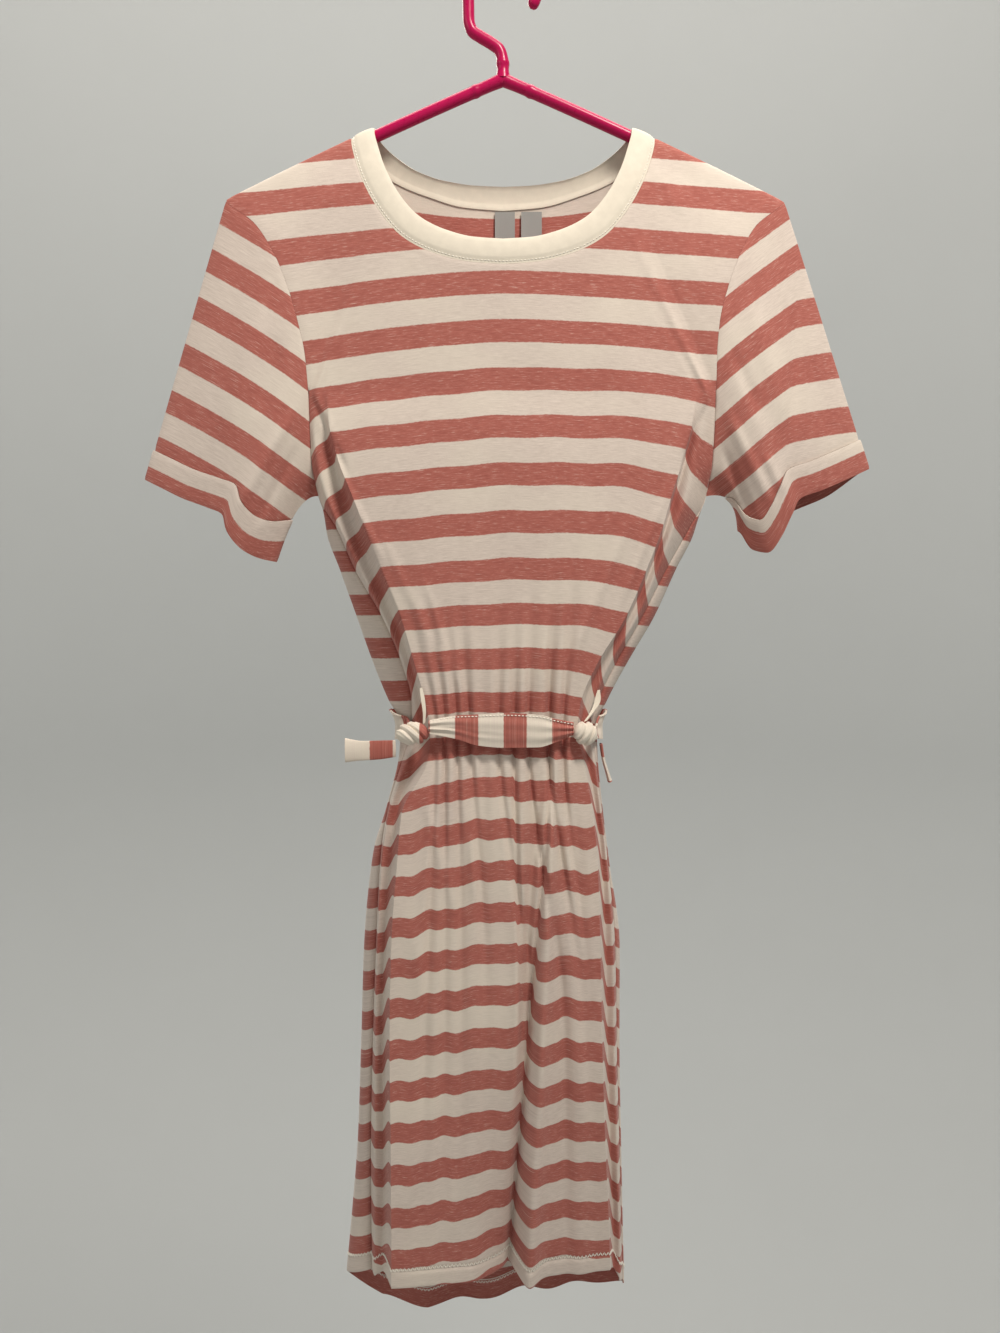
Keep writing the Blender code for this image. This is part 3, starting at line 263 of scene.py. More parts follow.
# Short creases on the front, each from one point to another: width and height of its ridge
Crease = namedtuple("Crease", "x z end_x end_z width height")
FRONT_CREASES = (
    Crease(-141, -300, -122, -352, 3.0, 1.8), Crease(-138, -318, -112, -372, 2.4, -2.0),
    Crease(-120, -368, -84, -440, 3.0, 1.5), Crease(152, -300, 138, -350, 2.6, 1.8),
    Crease(149, -318, 128, -368, 2.4, -2.1), Crease(122, -378, 84, -470, 3.0, 1.5),
    Crease(-96, -400, -40, -520, 4.0, 1.0), Crease(96, -396, 44, -520, 4.0, 1.2),
    Crease(-60, -440, -30, -535, 3.0, 0.9), Crease(40, -450, 24, -536, 3.0, 0.9),
    Crease(-104, -150, -128, -182, 5.0, 1.0), Crease(106, -152, 132, -186, 5.0, 1.0),
    Crease(-60, -600, -34, -700, 4.0, 1.4), Crease(-30, -598, -20, -690, 3.5, 1.2),
    Crease(50, -604, 62, -700, 4.0, -1.8), Crease(-72, -690, -50, -800, 6.0, 1.0),
    Crease(-52, -820, -78, -940, 7.0, 1.2), Crease(-20, -860, -46, -960, 6.0, 1.0),
    Crease(56, -780, 68, -900, 5.0, 1.2), Crease(30, -580, 22, -680, 2.6, -2.4),
)
SLEEVE_CREASES = {
    "left": (Crease(-150, -322, -196, -402, 4.0, 2.2), Crease(-148, -346, -186, -414, 3.0, -2.5),
             Crease(-196, -200, -226, -300, 8.0, 1.5), Crease(-172, -240, -206, -352, 7.0, 1.4),
             Crease(-160, -270, -178, -330, 5.0, -1.4)),
    "right": (Crease(160, -322, 198, -396, 4.0, 2.4), Crease(158, -344, 186, -404, 3.0, -2.7),
              Crease(198, -200, 232, -300, 8.0, 1.5), Crease(176, -240, 212, -346, 7.0, 1.5),
              Crease(164, -276, 188, -330, 4.0, -1.5), Crease(219, -200, 208, -360, 3.5, -1.8),
              Crease(190, -356, 204, -384, 3.0, 2.0)),
}

# Stripes: heights on the front's middle with the number of pink bands below the first one there
STRIPE_ROWS = ((-987.5, 23), (-954.5, 22), (-855.5, 19), (-756.7, 16), (-662.3, 13), (-599.6, 11),
               (-537.6, 9), (-439.7, 6), (-337.0, 3), (-235.1, 0), (-100.0, -4))
STRIPE_STEP = 33.0
# How far a band hangs below its height at the middle, by level and by place across the front
Droop = namedtuple("Droop", "z left_edge left_seam left_crease left_mid right_mid right_crease "
                            "right_seam right_edge")
DROOPS = (
    Droop(-312, 15, 15, 12.3, 4, 0.5, 6.7, 8, 8), Droop(-340, 24, 24, 11.3, 4, 0.5, 7.2, 16, 16),
    Droop(-385, 31, 31, 10, 3.5, 0.5, 9.2, 34, 34), Droop(-440, 27, 27, 6.6, 2.5, 1, 9.5, 38, 40),
    Droop(-475, 28, 27, 5.4, 1.5, 1, 7, 35, 37), Droop(-510, 28.5, 27, 3.7, 1, 0.5, 6, 33, 36),
    Droop(-545, 29.8, 27, 2.5, 0, 0, 4, 30, 33), Droop(-575, 29.8, 26, 5, 1, 0, 1, 27, 31),
    Droop(-610, 31, 26.5, 12.9, 3, 0, 0.5, 28, 33), Droop(-660, 36, 30, 13.5, 5, 0, 1, 31, 37),
    Droop(-725, 42, 34, 14, 5, 0, 1.5, 32, 41), Droop(-769, 45, 34.5, 12.5, 4.5, 1, 3, 33, 43),
    Droop(-830, 43.5, 30.5, 10.1, 3.5, 1, 2, 31, 43), Droop(-890, 40.5, 25.5, 8.2, 3, 1.5, 3.5, 31, 44),
    Droop(-940, 38, 23.7, 8.5, 4.5, 2, 7, 32, 45), Droop(-985, 34, 22, 7.5, 4.5, 2, 8.5, 29, 42),
)
FACE_PLACES = (0.0, 0.28, 0.52, 0.8, 1.0)
# In the skirt the bands' hang changes inside the valley: where it starts, from seam to crease, and its reach
VALLEY_START = 0.62
VALLEY_REACH = 0.34
# Slight unevenness, as sine waves: height, what x and z are divided by, and start
Wave = namedtuple("Wave", "height x_scale z_scale start")
CLOTH_WAVES = (Wave(0.30, 17.0, 41.0, 0.0), Wave(0.25, 9.5, -57.0, 1.3), Wave(0.20, 31.0, 23.0, 0.6))
BAND_WAVES = (Wave(0.35, 7.0, 50.0, 0.0),)
GATHER_WAVES = (Wave(1.2, 5.3, 160.0, 0.4), Wave(0.8, 2.9, -120.0, 0.0))
# The gathers' waves start this far below the waist and lose a share of their height on the way down
GATHER_START = 30.0
GATHER_LOSS = 0.45
GATHER_FADE_Z = -700.0
# Folds that hide some cloth, so the bands step down across them: place and step at each level
Break = namedtuple("Break", "z x step")
BREAKS = (
    (Break(-985, 4, 0), Break(-790, 17, 0), Break(-750, 13, 3), Break(-700, 10, 4.5),
     Break(-640, 8.5, 4.5), Break(-575, 8, 3), Break(-560, 8, 0)),
    (Break(-985, 4, 4), Break(-929, 9, 7), Break(-855, 14, 9.5), Break(-790, 19, 11),
     Break(-750, 24, 9), Break(-705, 27, 7), Break(-673, 31, 5.5), Break(-640, 35, 2.5),
     Break(-575, 38, 0.5), Break(-560, 38, 0)),
)
BREAK_WIDTH = 1.6
# Above the chest row the bands hang by this much at the armholes
YokeDroop = namedtuple("YokeDroop", "z left right")
YOKE_DROOPS = (YokeDroop(-312, 15, 8), YokeDroop(-268, 13.5, 7), YokeDroop(-235, 11.5, 6),
               YokeDroop(-190, 6.5, 5), YokeDroop(-120, 3, 3))
YOKE_HALF_WIDTH = 150.0

# Sleeve stripes: slope down towards the body in degrees, middle of one pink band, repeat, where the pink
# starts below the cuff's seam, and where the fold line meets the hook's height
SleeveStripe = namedtuple("SleeveStripe", "slope start step cuff_pink fold_x")
SLEEVE_STRIPES = {"left": SleeveStripe(32.0, -261.4, 34.55, 12.5, 400.0),
                  "right": SleeveStripe(37.0, -265.9, 33.55, 9.0, 230.8)}
# Past its fold line a sleeve's bands lie flatter: how the line leans, and how far they turn
SLEEVE_FOLD_LEAN = 0.064
SLEEVE_FOLD_TURN = 0.64
# How far the bands bulge down at the cuff, and how far the sleeve swells
SLEEVE_BULGE = 5.0
SLEEVE_SWELL = 4.0
# How deep a turned-up cuff is and how far it stands out, and how deep the cloth dips at each seam
CUFF_DEPTH = 23.0
CUFF_LIFT = 1.3
SEAM_DIP = 0.4

# The lower edge of each cuff, outer fold to underarm fold
CUFF_FRONTS = {
    "left": (Edge(268, 0, -373), Edge(267, 3.2, -373.4), Edge(253, 9, -380), Edge(236, 13, -388),
             Edge(218, 16, -394.5), Edge(206, 19, -400), Edge(202.5, 22, -412), Edge(193, 19, -425),
             Edge(182, 11, -431.5), Edge(173.5, 3.4, -433.7), Edge(172, 0, -434)),
    "right": (Edge(274, 0, -365), Edge(273, 3.2, -365.4), Edge(256, 9, -373), Edge(236, 14, -381.5),
              Edge(218, 17, -388.5), Edge(212, 20, -400), Edge(205, 19, -416), Edge(196.5, 15, -427.5),
              Edge(187, 8, -425), Edge(179, 3.4, -412.5), Edge(178, 0, -411)),
}
CUFF_BACKS = {
    "left": (Edge(268, 0, -373), Edge(267, -3.2, -373.4), Edge(237, -11, -387), Edge(206, -13, -402),
             Edge(186, -9, -422), Edge(173.5, -3.4, -433.6), Edge(172, 0, -434)),
    "right": (Edge(274, 0, -365), Edge(273, -3.2, -365.4), Edge(247, -11, -384.5), Edge(224, -13, -394.5),
              Edge(200, -10, -406), Edge(180, -3.4, -411), Edge(178, 0, -411)),
}
# The underarm: how far the sleeve bows out and up there, and the way its normal points
UNDERARM_BOW = {"left": (0.0, 13.0), "right": (6.0, 9.0)}
UNDERARM_OUT = 0.5
UNDERARM_DOWN = 0.87

# Belt: the front length between the knots, its upper and lower edge
BeltPoint = namedtuple("BeltPoint", "x depth top bottom")
BELT_FRONT = (
    BeltPoint(-54.4, 36.5, -550.0, -559.5), BeltPoint(-34.5, 38.0, -546.2, -563.3),
    BeltPoint(-18.0, 38.5, -545.2, -568.2), BeltPoint(1.0, 39.0, -544.2, -569.7),
    BeltPoint(25.5, 38.5, -545.5, -569.5), BeltPoint(38.0, 37.5, -548.9, -566.2),
    BeltPoint(51.6, 36.0, -552.3, -560.8),
)
BELT_ROWS = 16
BELT_COLUMNS = 120
BELT_CROWN = 1.6
# Round the back: its width, how far it lies off the waist, and its step past each outer edge
BELT_WIDTH = 22.0
BELT_OUT = 4.7
BELT_LEAD = (5.0, 2.5)
# Beside the knots the belt narrows to a share of its width, within a share of its length
BELT_NARROW = 0.42
BELT_TAPER = 0.16
# From this far off the middle the front length is gathered towards the knots
BELT_GATHER_START = 20.0
BELT_GATHER_REACH = 32.0
BELT_BACK_MIDDLE = ((45.0, 28.0), (20.0, 29.0), (-20.0, 29.0), (-50.0, 28.0))
# Where the belt's front has the middle of a pink band, and the repeat along the belt
BELT_PINK_X = -26.5
BELT_STEP = 35.4
Knot = namedtuple("Knot", "x y z half_width half_depth half_height belt_y lean pink_x")
KNOTS = {
    "left": Knot(-66.5, -34.0, -560.0, 11.5, 7.5, 8.2, -24.9, 0.62, -61.8),
    "right": Knot(60.5, -33.0, -560.0, 8.5, 7.0, 8.4, -27.2, -0.45, 90.0),
}
KNOT_CELLS = (104, 56)
# A knot's creases and wrinkles along its slant, as shares of its half sizes
KnotCrease = namedtuple("KnotCrease", "place width depth")
KNOT_CREASES = (KnotCrease(0.34, 0.10, 0.24), KnotCrease(-0.30, 0.12, 0.192))
KnotWrinkle = namedtuple("KnotWrinkle", "height beat lean")
KNOT_WRINKLES = (KnotWrinkle(0.022, 26.0, 1.5), KnotWrinkle(0.018, 15.0, -4.0))
KNOT_SWELL = 1.06
KNOT_POLE = 1.05
KNOT_PINK_EDGE = 1.5
TAIL_ROUTE = ((-82.8, 0.4, -577.3), (-95.0, -5.0, -577.5), (-107.0, -8.0, -577.5), (-120.0, -9.0, -577.0))
TAIL_WIDTHS = (13.0, 14.5, 15.0, 18.5)
TAIL_DEPTH = 3.0
TAIL_FLARE = 2.2
TAIL_PINK_X = -93.0
END_ROUTE = ((75.8, 3.0, -574.0), (77.6, 4.0, -585.0), (80.5, 4.5, -595.0), (83.0, 5.0, -603.0))
END_WIDTHS = (11.0, 12.0, 13.0, 14.0)
END_DEPTH = 2.4
END_FLARE = 0.6
END_PINK_Z = -575.0
# A belt end's tube: stations and sides, how much smaller its hollow is than its outside, the stations
# from one of the hollow's rings to the next, and how many rings it has
TUBE_CELLS = (40, 32)
TUBE_HOLLOW = 0.72
HOLLOW_STEP = 4
HOLLOW_RINGS = 3
CARRIER_ROUTES = {
    "left": ((-60.5, -27.9, -527.0), (-58.7, -32.0, -536.0), (-57.6, -34.2, -545.0), (-57.9, -34.6, -552.4)),
    "right": ((71.9, -14.6, -530.0), (70.0, -22.5, -538.0), (65.0, -30.0, -545.5), (60.5, -33.0, -550.8)),
}
CARRIER_WIDTHS = {"left": (1.8, 2.8, 2.4, 1.8), "right": (2.0, 4.8, 3.2, 2.0)}
CARRIER_TILT = (1.0, 0.0, 0.3)
CARRIER_WALL = 0.9
CARRIER_CELLS = (40, 4)

# Labels: wall, distance from the neck, curl down and curl across, and half the width that curls
LABEL_WALL = 0.45
LABEL_OUT = 0.2
LABEL_CURL = 0.9
LABEL_SIDE_CURL = 0.5
LABEL_HALF_WIDTH = 7.5
LABEL_CELLS = (16, 30)

# Stitches: half the height and the step of the hem's zigzag, what is left free at a stitch's start and
# end, how proud it lies as a share of its radius, and how far the belt's lie off its cloth
ZIGZAG_HALF = 1.7
ZIGZAG_STEP = 1.5
STITCH_ENDS = (0.08, 0.12)
STITCH_LIFT = 0.6
BELT_STITCH_OUT = 0.2

# The round studio, in millimetres: its floor, its top and the bend between floor and wall
COVE_FLOOR = -2600.0
COVE_TOP = 3300.0
COVE_BEND = 1500.0
COVE_SIDES = 96
COVE_BEND_CELLS = 24
# Soft lights: name, place in metres, turn in degrees, size in metres and power in watts
LIGHTS = (
    ("key_light", (0.48, -0.86, 0.86), (46.0, 0.0, 29.0), 0.3, 23.0),
    ("side_light", (-1.25, -0.75, 0.35), (72.0, 0.0, -59.0), 0.5, 2.5),
    ("top_light", (0.0, 0.9, 3.1), (0.0, 0.0, 0.0), 3.0, 125.0),
    ("back_light", (-0.9, 1.8, 0.9), (58.0, 0.0, 207.0), 0.9, 16.0),
)
LIGHT_TINT = (1.0, 0.94, 0.86)
WORLD_COLOUR = (1.0, 0.98, 0.95, 1.0)
WORLD_STRENGTH = 0.13

# Camera: place in metres, tilt down in degrees, lens and sensor in millimetres
CAMERA_PLACE = (-0.0022, -0.761, -0.447)
CAMERA_PITCH = 5.0
CAMERA_LENS = 27.0
CAMERA_SENSOR = 36.0


class MiniDressSizes(bpy.types.PropertyGroup):
    """Sizes of the cloth, its stripes and its stitches."""

    wall: bpy.props.FloatProperty(
        name="Cloth wall", description="Thickness of the cloth", default=0.0009, unit="LENGTH")
    band_wall: bpy.props.FloatProperty(
        name="Band wall", description="Thickness of the doubled neckband and belt", default=0.0016,
        unit="LENGTH")
    seam_gap: bpy.props.FloatProperty(
        name="Seam gap", description="Gap between two sewn pieces", default=0.00012, unit="LENGTH")
    pink_width: bpy.props.FloatProperty(
        name="Pink band", description="Height of a pink band", default=0.0158, unit="LENGTH")
    thread: bpy.props.FloatProperty(
        name="Thread", description="Half the thickness of a stitch", default=0.0005, unit="LENGTH")
    stitch_step: bpy.props.FloatProperty(
        name="Stitch step", description="Length from one stitch to the next", default=0.0026,
        unit="LENGTH")
    hem_height: bpy.props.FloatProperty(
        name="Hem height", description="Height of the hem's stitches above its edge", default=0.0145,
        unit="LENGTH")
    tube: bpy.props.FloatProperty(
        name="Hanger tube", description="Radius of the hanger's tube", default=0.0042, unit="LENGTH")
    cove_radius: bpy.props.FloatProperty(
        name="Cove radius", description="Distance from the hook to the round wall of the studio",
        default=3.4, unit="LENGTH")


class MiniDressColours(bpy.types.PropertyGroup):
    """Colours, as linear red, green and blue."""

    pink: bpy.props.FloatVectorProperty(
        name="Pink", description="Colour of the pink bands", subtype="COLOR", size=3,
        default=(0.50, 0.165, 0.13))
    pink_dark: bpy.props.FloatVectorProperty(
        name="Dark pink", description="Colour of the darker yarns in the pink bands", subtype="COLOR",
        size=3, default=(0.35, 0.10, 0.08))
    cream: bpy.props.FloatVectorProperty(
        name="Cream", description="Colour of the pale bands", subtype="COLOR", size=3,
        default=(0.745, 0.64, 0.57))
    cream_dark: bpy.props.FloatVectorProperty(
        name="Dark cream", description="Colour of the darker yarns in the pale bands", subtype="COLOR",
        size=3, default=(0.60, 0.505, 0.445))
    # On the belt's pale bands this tone is painted light: the dress's own jersey drawn lighter where it
    # faces up into the light
    binding: bpy.props.FloatVectorProperty(
        name="Binding", description="Colour of the neckband, carriers and the belt's pale bands",
        subtype="COLOR", size=3, default=(0.80, 0.725, 0.61))
    thread: bpy.props.FloatVectorProperty(
        name="Thread", description="Cream sewing thread", subtype="COLOR", size=3,
        default=(0.93, 0.88, 0.79))
    label: bpy.props.FloatVectorProperty(
        name="Label", description="Colour of the neck labels", subtype="COLOR", size=3,
        default=(0.33, 0.325, 0.31))
    hanger: bpy.props.FloatVectorProperty(
        name="Hanger", description="Colour of the hanger", subtype="COLOR", size=3,
        default=(0.52, 0.003, 0.085))
    backdrop: bpy.props.FloatVectorProperty(
        name="Backdrop", description="Colour of the backdrop and floor", subtype="COLOR", size=3,
        default=(0.56, 0.58, 0.585))


def pchip(knots, values, where):
    """Smooth curve through values at rising knots: cubic pieces whose slopes never overshoot."""
    knots = np.asarray(knots, dtype=float)
    values = np.asarray(values, dtype=float)
    where = np.clip(np.asarray(where, dtype=float), knots[0], knots[-1])
    span = np.diff(knots)
    slope = np.diff(values) / span
    product = slope[:-1] * slope[1:]
    total = np.where(product > 0, slope[:-1] + slope[1:], 1.0)
    tangent = np.zeros(len(knots))
    tangent[1:-1] = np.where(product > 0, 2 * product / total, 0.0)
    tangent[0] = slope[0]
    tangent[-1] = slope[-1]
    cell = np.clip(np.searchsorted(knots, where, side="right") - 1, 0, len(span) - 1)
    t = (where - knots[cell]) / span[cell]
    start = values[cell] * (1 + 2 * t) * (1 - t) ** 2
    start = start + tangent[cell] * span[cell] * t * (1 - t) ** 2
    end = values[cell + 1] * t ** 2 * (3 - 2 * t)
    return start + end - tangent[cell + 1] * span[cell] * t ** 2 * (1 - t)


def along(points, fractions):
    """Points at the given fractions of the length of a smooth curve through the points."""
    points = np.asarray(points, dtype=float)
    length = lengths(points)
    where = np.asarray(fractions) * length[-1]
    return np.stack([pchip(length, points[:, axis], where) for axis in range(points.shape[1])], axis=-1)


def lengths(points):
    """Length along a chain of points, from its first point to each."""
    steps = np.linalg.norm(np.diff(points, axis=0), axis=1)
    return np.concatenate(([0.0], np.cumsum(steps)))


def split_steps(values, parts):
    """The values with each step between two of them cut into equal parts."""
    count = len(values) - 1
    return np.interp(np.arange(count * parts + 1) / parts, np.arange(count + 1), values)


def smooth_step(value):
    """0 below 0, 1 above 1, and a cubic without corners between them."""
    value = np.clip(value, 0.0, 1.0)
    return value ** 2 * (3 - 2 * value)


def bell(value, width):
    """A bell that is 1 where the value is 0 and falls away on both sides over the width."""
    return np.exp(-(value / width) ** 2)


def below_waist(levels):
    """How far down each level lies, from 0 at the waist and above to 1 at the hem."""
    return np.clip((WAIST_Z - levels) / (WAIST_Z - HEM_Z), 0.0, 1.0)


def arm_z(x):
    """Height of the hanger arm's middle line: a line down from the middle with a slight droop."""
    return JUNCTION_Z - ARM_SLOPE * np.abs(x) - ARM_DROOP * np.square(x)


def station(side, name, levels):
    """A station's x and y at each level, x with the side's sign, smooth between the table's rows."""
    table = SIDE_TABLES[side][::-1]
    heights = [row.z for row in table]
    x = pchip(heights, [getattr(row, name + "_x") for row in table], levels)
    y = pchip(heights, [getattr(row, name + "_y") for row in table], levels)
    return SIDES[side] * x, y


def fold_relief(folds, x, levels):
    """How far the folds stand out: a sum of bells across the cloth that run down it."""
    relief = np.zeros_like(x)
    knots = FOLD_LEVELS[::-1]
    above = np.clip((levels - WAIST_Z) / (UNDERARM_Z - WAIST_Z), 0.0, 1.0)
    for fold in folds:
        places = (fold.hem_x, fold.skirt_x, fold.waist_x, fold.bust_x, fold.bust_x)
        heights = (fold.hem, fold.skirt, fold.waist, fold.bust, 0.0)
        middle = pchip(knots, places, levels)
        width = fold.waist_width + (fold.hem_width - fold.waist_width) * below_waist(levels)
        width = width + UNDERARM_FOLD_SPREAD * above
        relief += pchip(knots, heights, levels) * bell(x - middle, width)
    return relief


def crease_relief(creases, x, z):
    """How far short creases stand out: bells across each line, faded towards its two ends."""
    relief = np.zeros_like(x)
    for crease in creases:
        run_x = crease.end_x - crease.x
        run_z = crease.end_z - crease.z
        length = math.hypot(run_x, run_z)
        share = ((x - crease.x) * run_x + (z - crease.z) * run_z) / length ** 2
        aside = ((x - crease.x) * run_z - (z - crease.z) * run_x) / length
        fade = np.exp(-np.clip(np.abs(share - 0.5) * 2 - 0.5, 0.0, None) ** 2 * 8)
        relief += crease.height * fade * bell(aside, crease.width)
    return relief


def waves(table, x, z):
    """Slight unevenness at each point: a few long sine waves added together, in millimetres."""
    return sum(row.height * np.sin(x / row.x_scale + z / row.z_scale + row.start) for row in table)


def level_course(z):
    """Stripe course of a height on the front's middle: straight lines between the measured bands."""
    rows = np.array(STRIPE_ROWS)
    return np.interp(z, rows[:, 0], -rows[:, 1] * STRIPE_STEP)


def droop(name, levels):
    """How far the bands hang at one place across the dress, at each level."""
    table = DROOPS[::-1]
    return pchip([row.z for row in table], [getattr(row, name) for row in table], levels)


def panel_levels():
    """Levels of the panels' rows: even steps between the named ones, and finer just above the hem."""
    levels = split_steps(np.array(LEVELS, dtype=float), LEVEL_SPLIT)
    return np.concatenate([split_steps(levels[:HEM_ROWS + 1], HEM_SPLIT), levels[HEM_ROWS + 1:]])


def hem_relief(levels):
    """The turned hem: a step of doubled cloth below its stitches and a narrow dent along them."""
    line = HEM_Z + HEM_DENT_PLACE * bpy.context.scene.mini_dress_sizes.hem_height / MM
    step = HEM_STEP / (1 + np.exp((levels - line) / HEM_STEP_SPREAD))
    return step - HEM_DENT * bell(levels - line, HEM_DENT_WIDTH)


def band_waves(x, z):
    """How the gathers lift and drop the bands: waves in the skirt that fade at the waist, and faint ones."""
    start = np.clip((WAIST_Z - GATHER_START - z) / WAIST_BLEND, 0.0, 1.0)
    fading = 1 - GATHER_LOSS * np.clip((GATHER_FADE_Z - z) / (GATHER_FADE_Z - HEM_Z), 0.0, 1.0)
    return start * fading * waves(GATHER_WAVES, x, z) + waves(BAND_WAVES, x, z)


def break_hang(x, levels):
    """How far the bands have stepped down at each point: a smooth step across every hidden fold."""
    hang = np.zeros_like(x)
    for rows in BREAKS:
        knots = [row.z for row in rows]
        place = pchip(knots, [row.x for row in rows], levels)
        step = pchip(knots, [row.step for row in rows], levels)
        hang += step * smooth_step((x - place) / BREAK_WIDTH + 0.5)
    return hang


def yoke_hang(x, z):
    """How far the bands hang above the chest row: a square law from the middle to the armholes."""
    knots = [row.z for row in YOKE_DROOPS]
    left = pchip(knots, [row.left for row in YOKE_DROOPS], z)
    right = pchip(knots, [row.right for row in YOKE_DROOPS], z)
    return np.where(x < 0, left, right) * np.clip(np.abs(x) / YOKE_HALF_WIDTH, 0.0, 1.2) ** 1.5


def side_columns(side, levels):
    """Columns from the side seam to the crease: seam, roll, valley and crease joined smoothly."""
    names = ("seam", "roll", "valley", "crease")
    stations = [station(side, name, levels) for name in names]
    columns = np.linspace(0.0, 3.0, SIDE_CELLS * CELL_SPLIT + 1)
    x = np.array([pchip(range(4), row, columns) for row in np.transpose([s[0] for s in stations])])
    y = np.array([pchip(range(4), row, columns) for row in np.transpose([s[1] for s in stations])])
    return np.stack([x, y, np.repeat(levels[:, None], len(columns), axis=1)], axis=-1)


def front_lower(levels):
    """The front from hem to chest row, left seam to right seam, and its stripe course.

    The face is a straight blend of the two creases, swollen in a parabola, with the folds' bells. The
    course is the height's own, and lower where the bands hang lower.
    """
    left = side_columns("left", levels)
    right = side_columns("right", levels)[:, ::-1]
    cells = FACE_CELLS * CELL_SPLIT
    across = np.linspace(0.0, 1.0, cells + 1)[None, :, None]
    face = left[:, -1:] * (1 - across) + right[:, :1] * across
    place = across[:, :, 0]
    swell = pchip(SWELL_LEVELS, FRONT_SWELL, levels)[:, None]
    fade = 1 - (2 * place - 1) ** 8
    face[..., 1] -= swell * 4 * place * (1 - place)
    face[..., 1] -= fade * fold_relief(FRONT_FOLDS + FINE_FOLDS, face[..., 0], levels[:, None])
    face[..., 1] -= fade * hem_relief(levels)[:, None]
    grid = np.concatenate([left[:, :-1], face, right[:, 1:]], axis=1)
    grid[..., 1] -= crease_relief(FRONT_CREASES, grid[..., 0], grid[..., 2])
    inside = np.clip(np.minimum(np.arange(grid.shape[1]), np.arange(grid.shape[1])[::-1]) / 8, 0, 1)
    grid[..., 1] += inside * waves(CLOTH_WAVES, grid[..., 0], grid[..., 2])

    marks = [droop(name, levels) for name in ("left_crease", "left_mid", "right_mid", "right_crease")]
    marks.insert(2, np.zeros_like(levels))
    face_droop = np.array([pchip(FACE_PLACES, row, place[0]) for row in np.transpose(marks)])
    count = SIDE_CELLS * CELL_SPLIT
    even = np.linspace(0.0, 1.0, count + 1)
    hidden = smooth_step((even - VALLEY_START) / VALLEY_REACH)
    skirt = np.clip((WAIST_Z - levels) / WAIST_BLEND, 0.0, 1.0)[:, None]
    share = even * (1 - skirt) + hidden * skirt
    left_droop = droop("left_seam", levels)[:, None] * (1 - share) + marks[0][:, None] * share
    share = share[:, ::-1]
    right_droop = marks[-1][:, None] * share + droop("right_seam", levels)[:, None] * (1 - share)
    hang = np.concatenate([left_droop[:, :-1], face_droop, right_droop[:, 1:]], axis=1)
    course = level_course(grid[..., 2]) + hang + break_hang(grid[..., 0], levels[:, None])
    course += band_waves(grid[..., 0], grid[..., 2])

    drop = np.concatenate([SEAM_DROP["left"] * even[::-1], np.zeros(cells - 1), SEAM_DROP["right"] * even])
    drop = below_waist(levels)[:, None] * drop
    grid[..., 2] -= drop
    course -= drop
    return grid, course


def back_turn(side, levels):
    """The back's columns from a side seam round to its outer edge: a quarter of an ellipse."""
    seam_x, seam_y = station(side, "seam", levels)
    opening = np.clip((levels - UNDERARM_Z) / UNDERARM_OPENING, 0.0, 1.0)
    seam_y = seam_y * (1 - 2 * opening)
    edge_x, edge_y = station(side, "edge", levels)
    angle = np.linspace(0.0, math.pi / 2, BACK_EDGE_CELLS * CELL_SPLIT + 1)[None]
    x = seam_x[:, None] + (edge_x - seam_x)[:, None] * np.sin(angle)
    y = seam_y[:, None] + (edge_y - seam_y)[:, None] * (1 - np.cos(angle))
    return np.stack([x, y, np.repeat(levels[:, None], angle.shape[1], axis=1)], axis=-1)


def back_lower(levels):
    """The back from hem to chest row, right seam to left seam, and its stripe course.

    The face is a straight blend of the two outer edges, swollen in a flat curve of the fourth power.
    """
    right = back_turn("right", levels)
    left = back_turn("left", levels)[:, ::-1]
    cells = BACK_FACE_CELLS * CELL_SPLIT
    across = np.linspace(0.0, 1.0, cells + 1)[None, :, None]
    face = right[:, -1:] * (1 - across) + left[:, :1] * across
    place = across[:, :, 0]
    swell = pchip(SWELL_LEVELS, BACK_SWELL, levels)[:, None]
    fade = 1 - (2 * place - 1) ** 8
    face[..., 1] += swell * (1 - (2 * place - 1) ** 4)
    face[..., 1] += fade * fold_relief(BACK_FOLDS, face[..., 0], levels[:, None])
    face[..., 1] += fade * waves(CLOTH_WAVES, face[..., 0] * 1.1 + 30.0, face[..., 2])
    face[..., 1] += hem_relief(levels)[:, None]
    grid = np.concatenate([right[:, :-1], face, left[:, 1:]], axis=1)

    turn = BACK_EDGE_CELLS * CELL_SPLIT
    share = np.linspace(0.0, 1.0, turn + 1)[:-1]
    below = below_waist(levels)[:, None]
    right_edge = droop("right_edge", levels)[:, None]
    left_edge = droop("left_edge", levels)[:, None]
    hang = BACK_HANG + (BACK_HEM_HANG - BACK_HANG) * below
    middle = hang + (right_edge - hang) * (1 - place) ** 5 + (left_edge - hang) * place ** 5
    right_hang = droop("right_seam", levels)[:, None] * (1 - share) + right_edge * share
    left_hang = (droop("left_seam", levels)[:, None] * (1 - share) + left_edge * share)[:, ::-1]
    course = level_course(grid[..., 2]) + np.concatenate([right_hang, middle, left_hang], axis=1)

    lower = np.interp(face[..., 0], [row[0] for row in BACK_HEM], [row[1] for row in BACK_HEM])
    right_drop = SEAM_DROP["right"] + (BACK_EDGE_DROP["right"] - SEAM_DROP["right"]) * share
    left_drop = SEAM_DROP["left"] + (BACK_EDGE_DROP["left"] - SEAM_DROP["left"]) * share[::-1]
    rows = len(levels)
    drop = np.concatenate([np.tile(right_drop, (rows, 1)), lower, np.tile(left_drop, (rows, 1))], axis=1)
    drop = below * drop
    grid[..., 2] -= drop
    course -= drop
    return grid, course


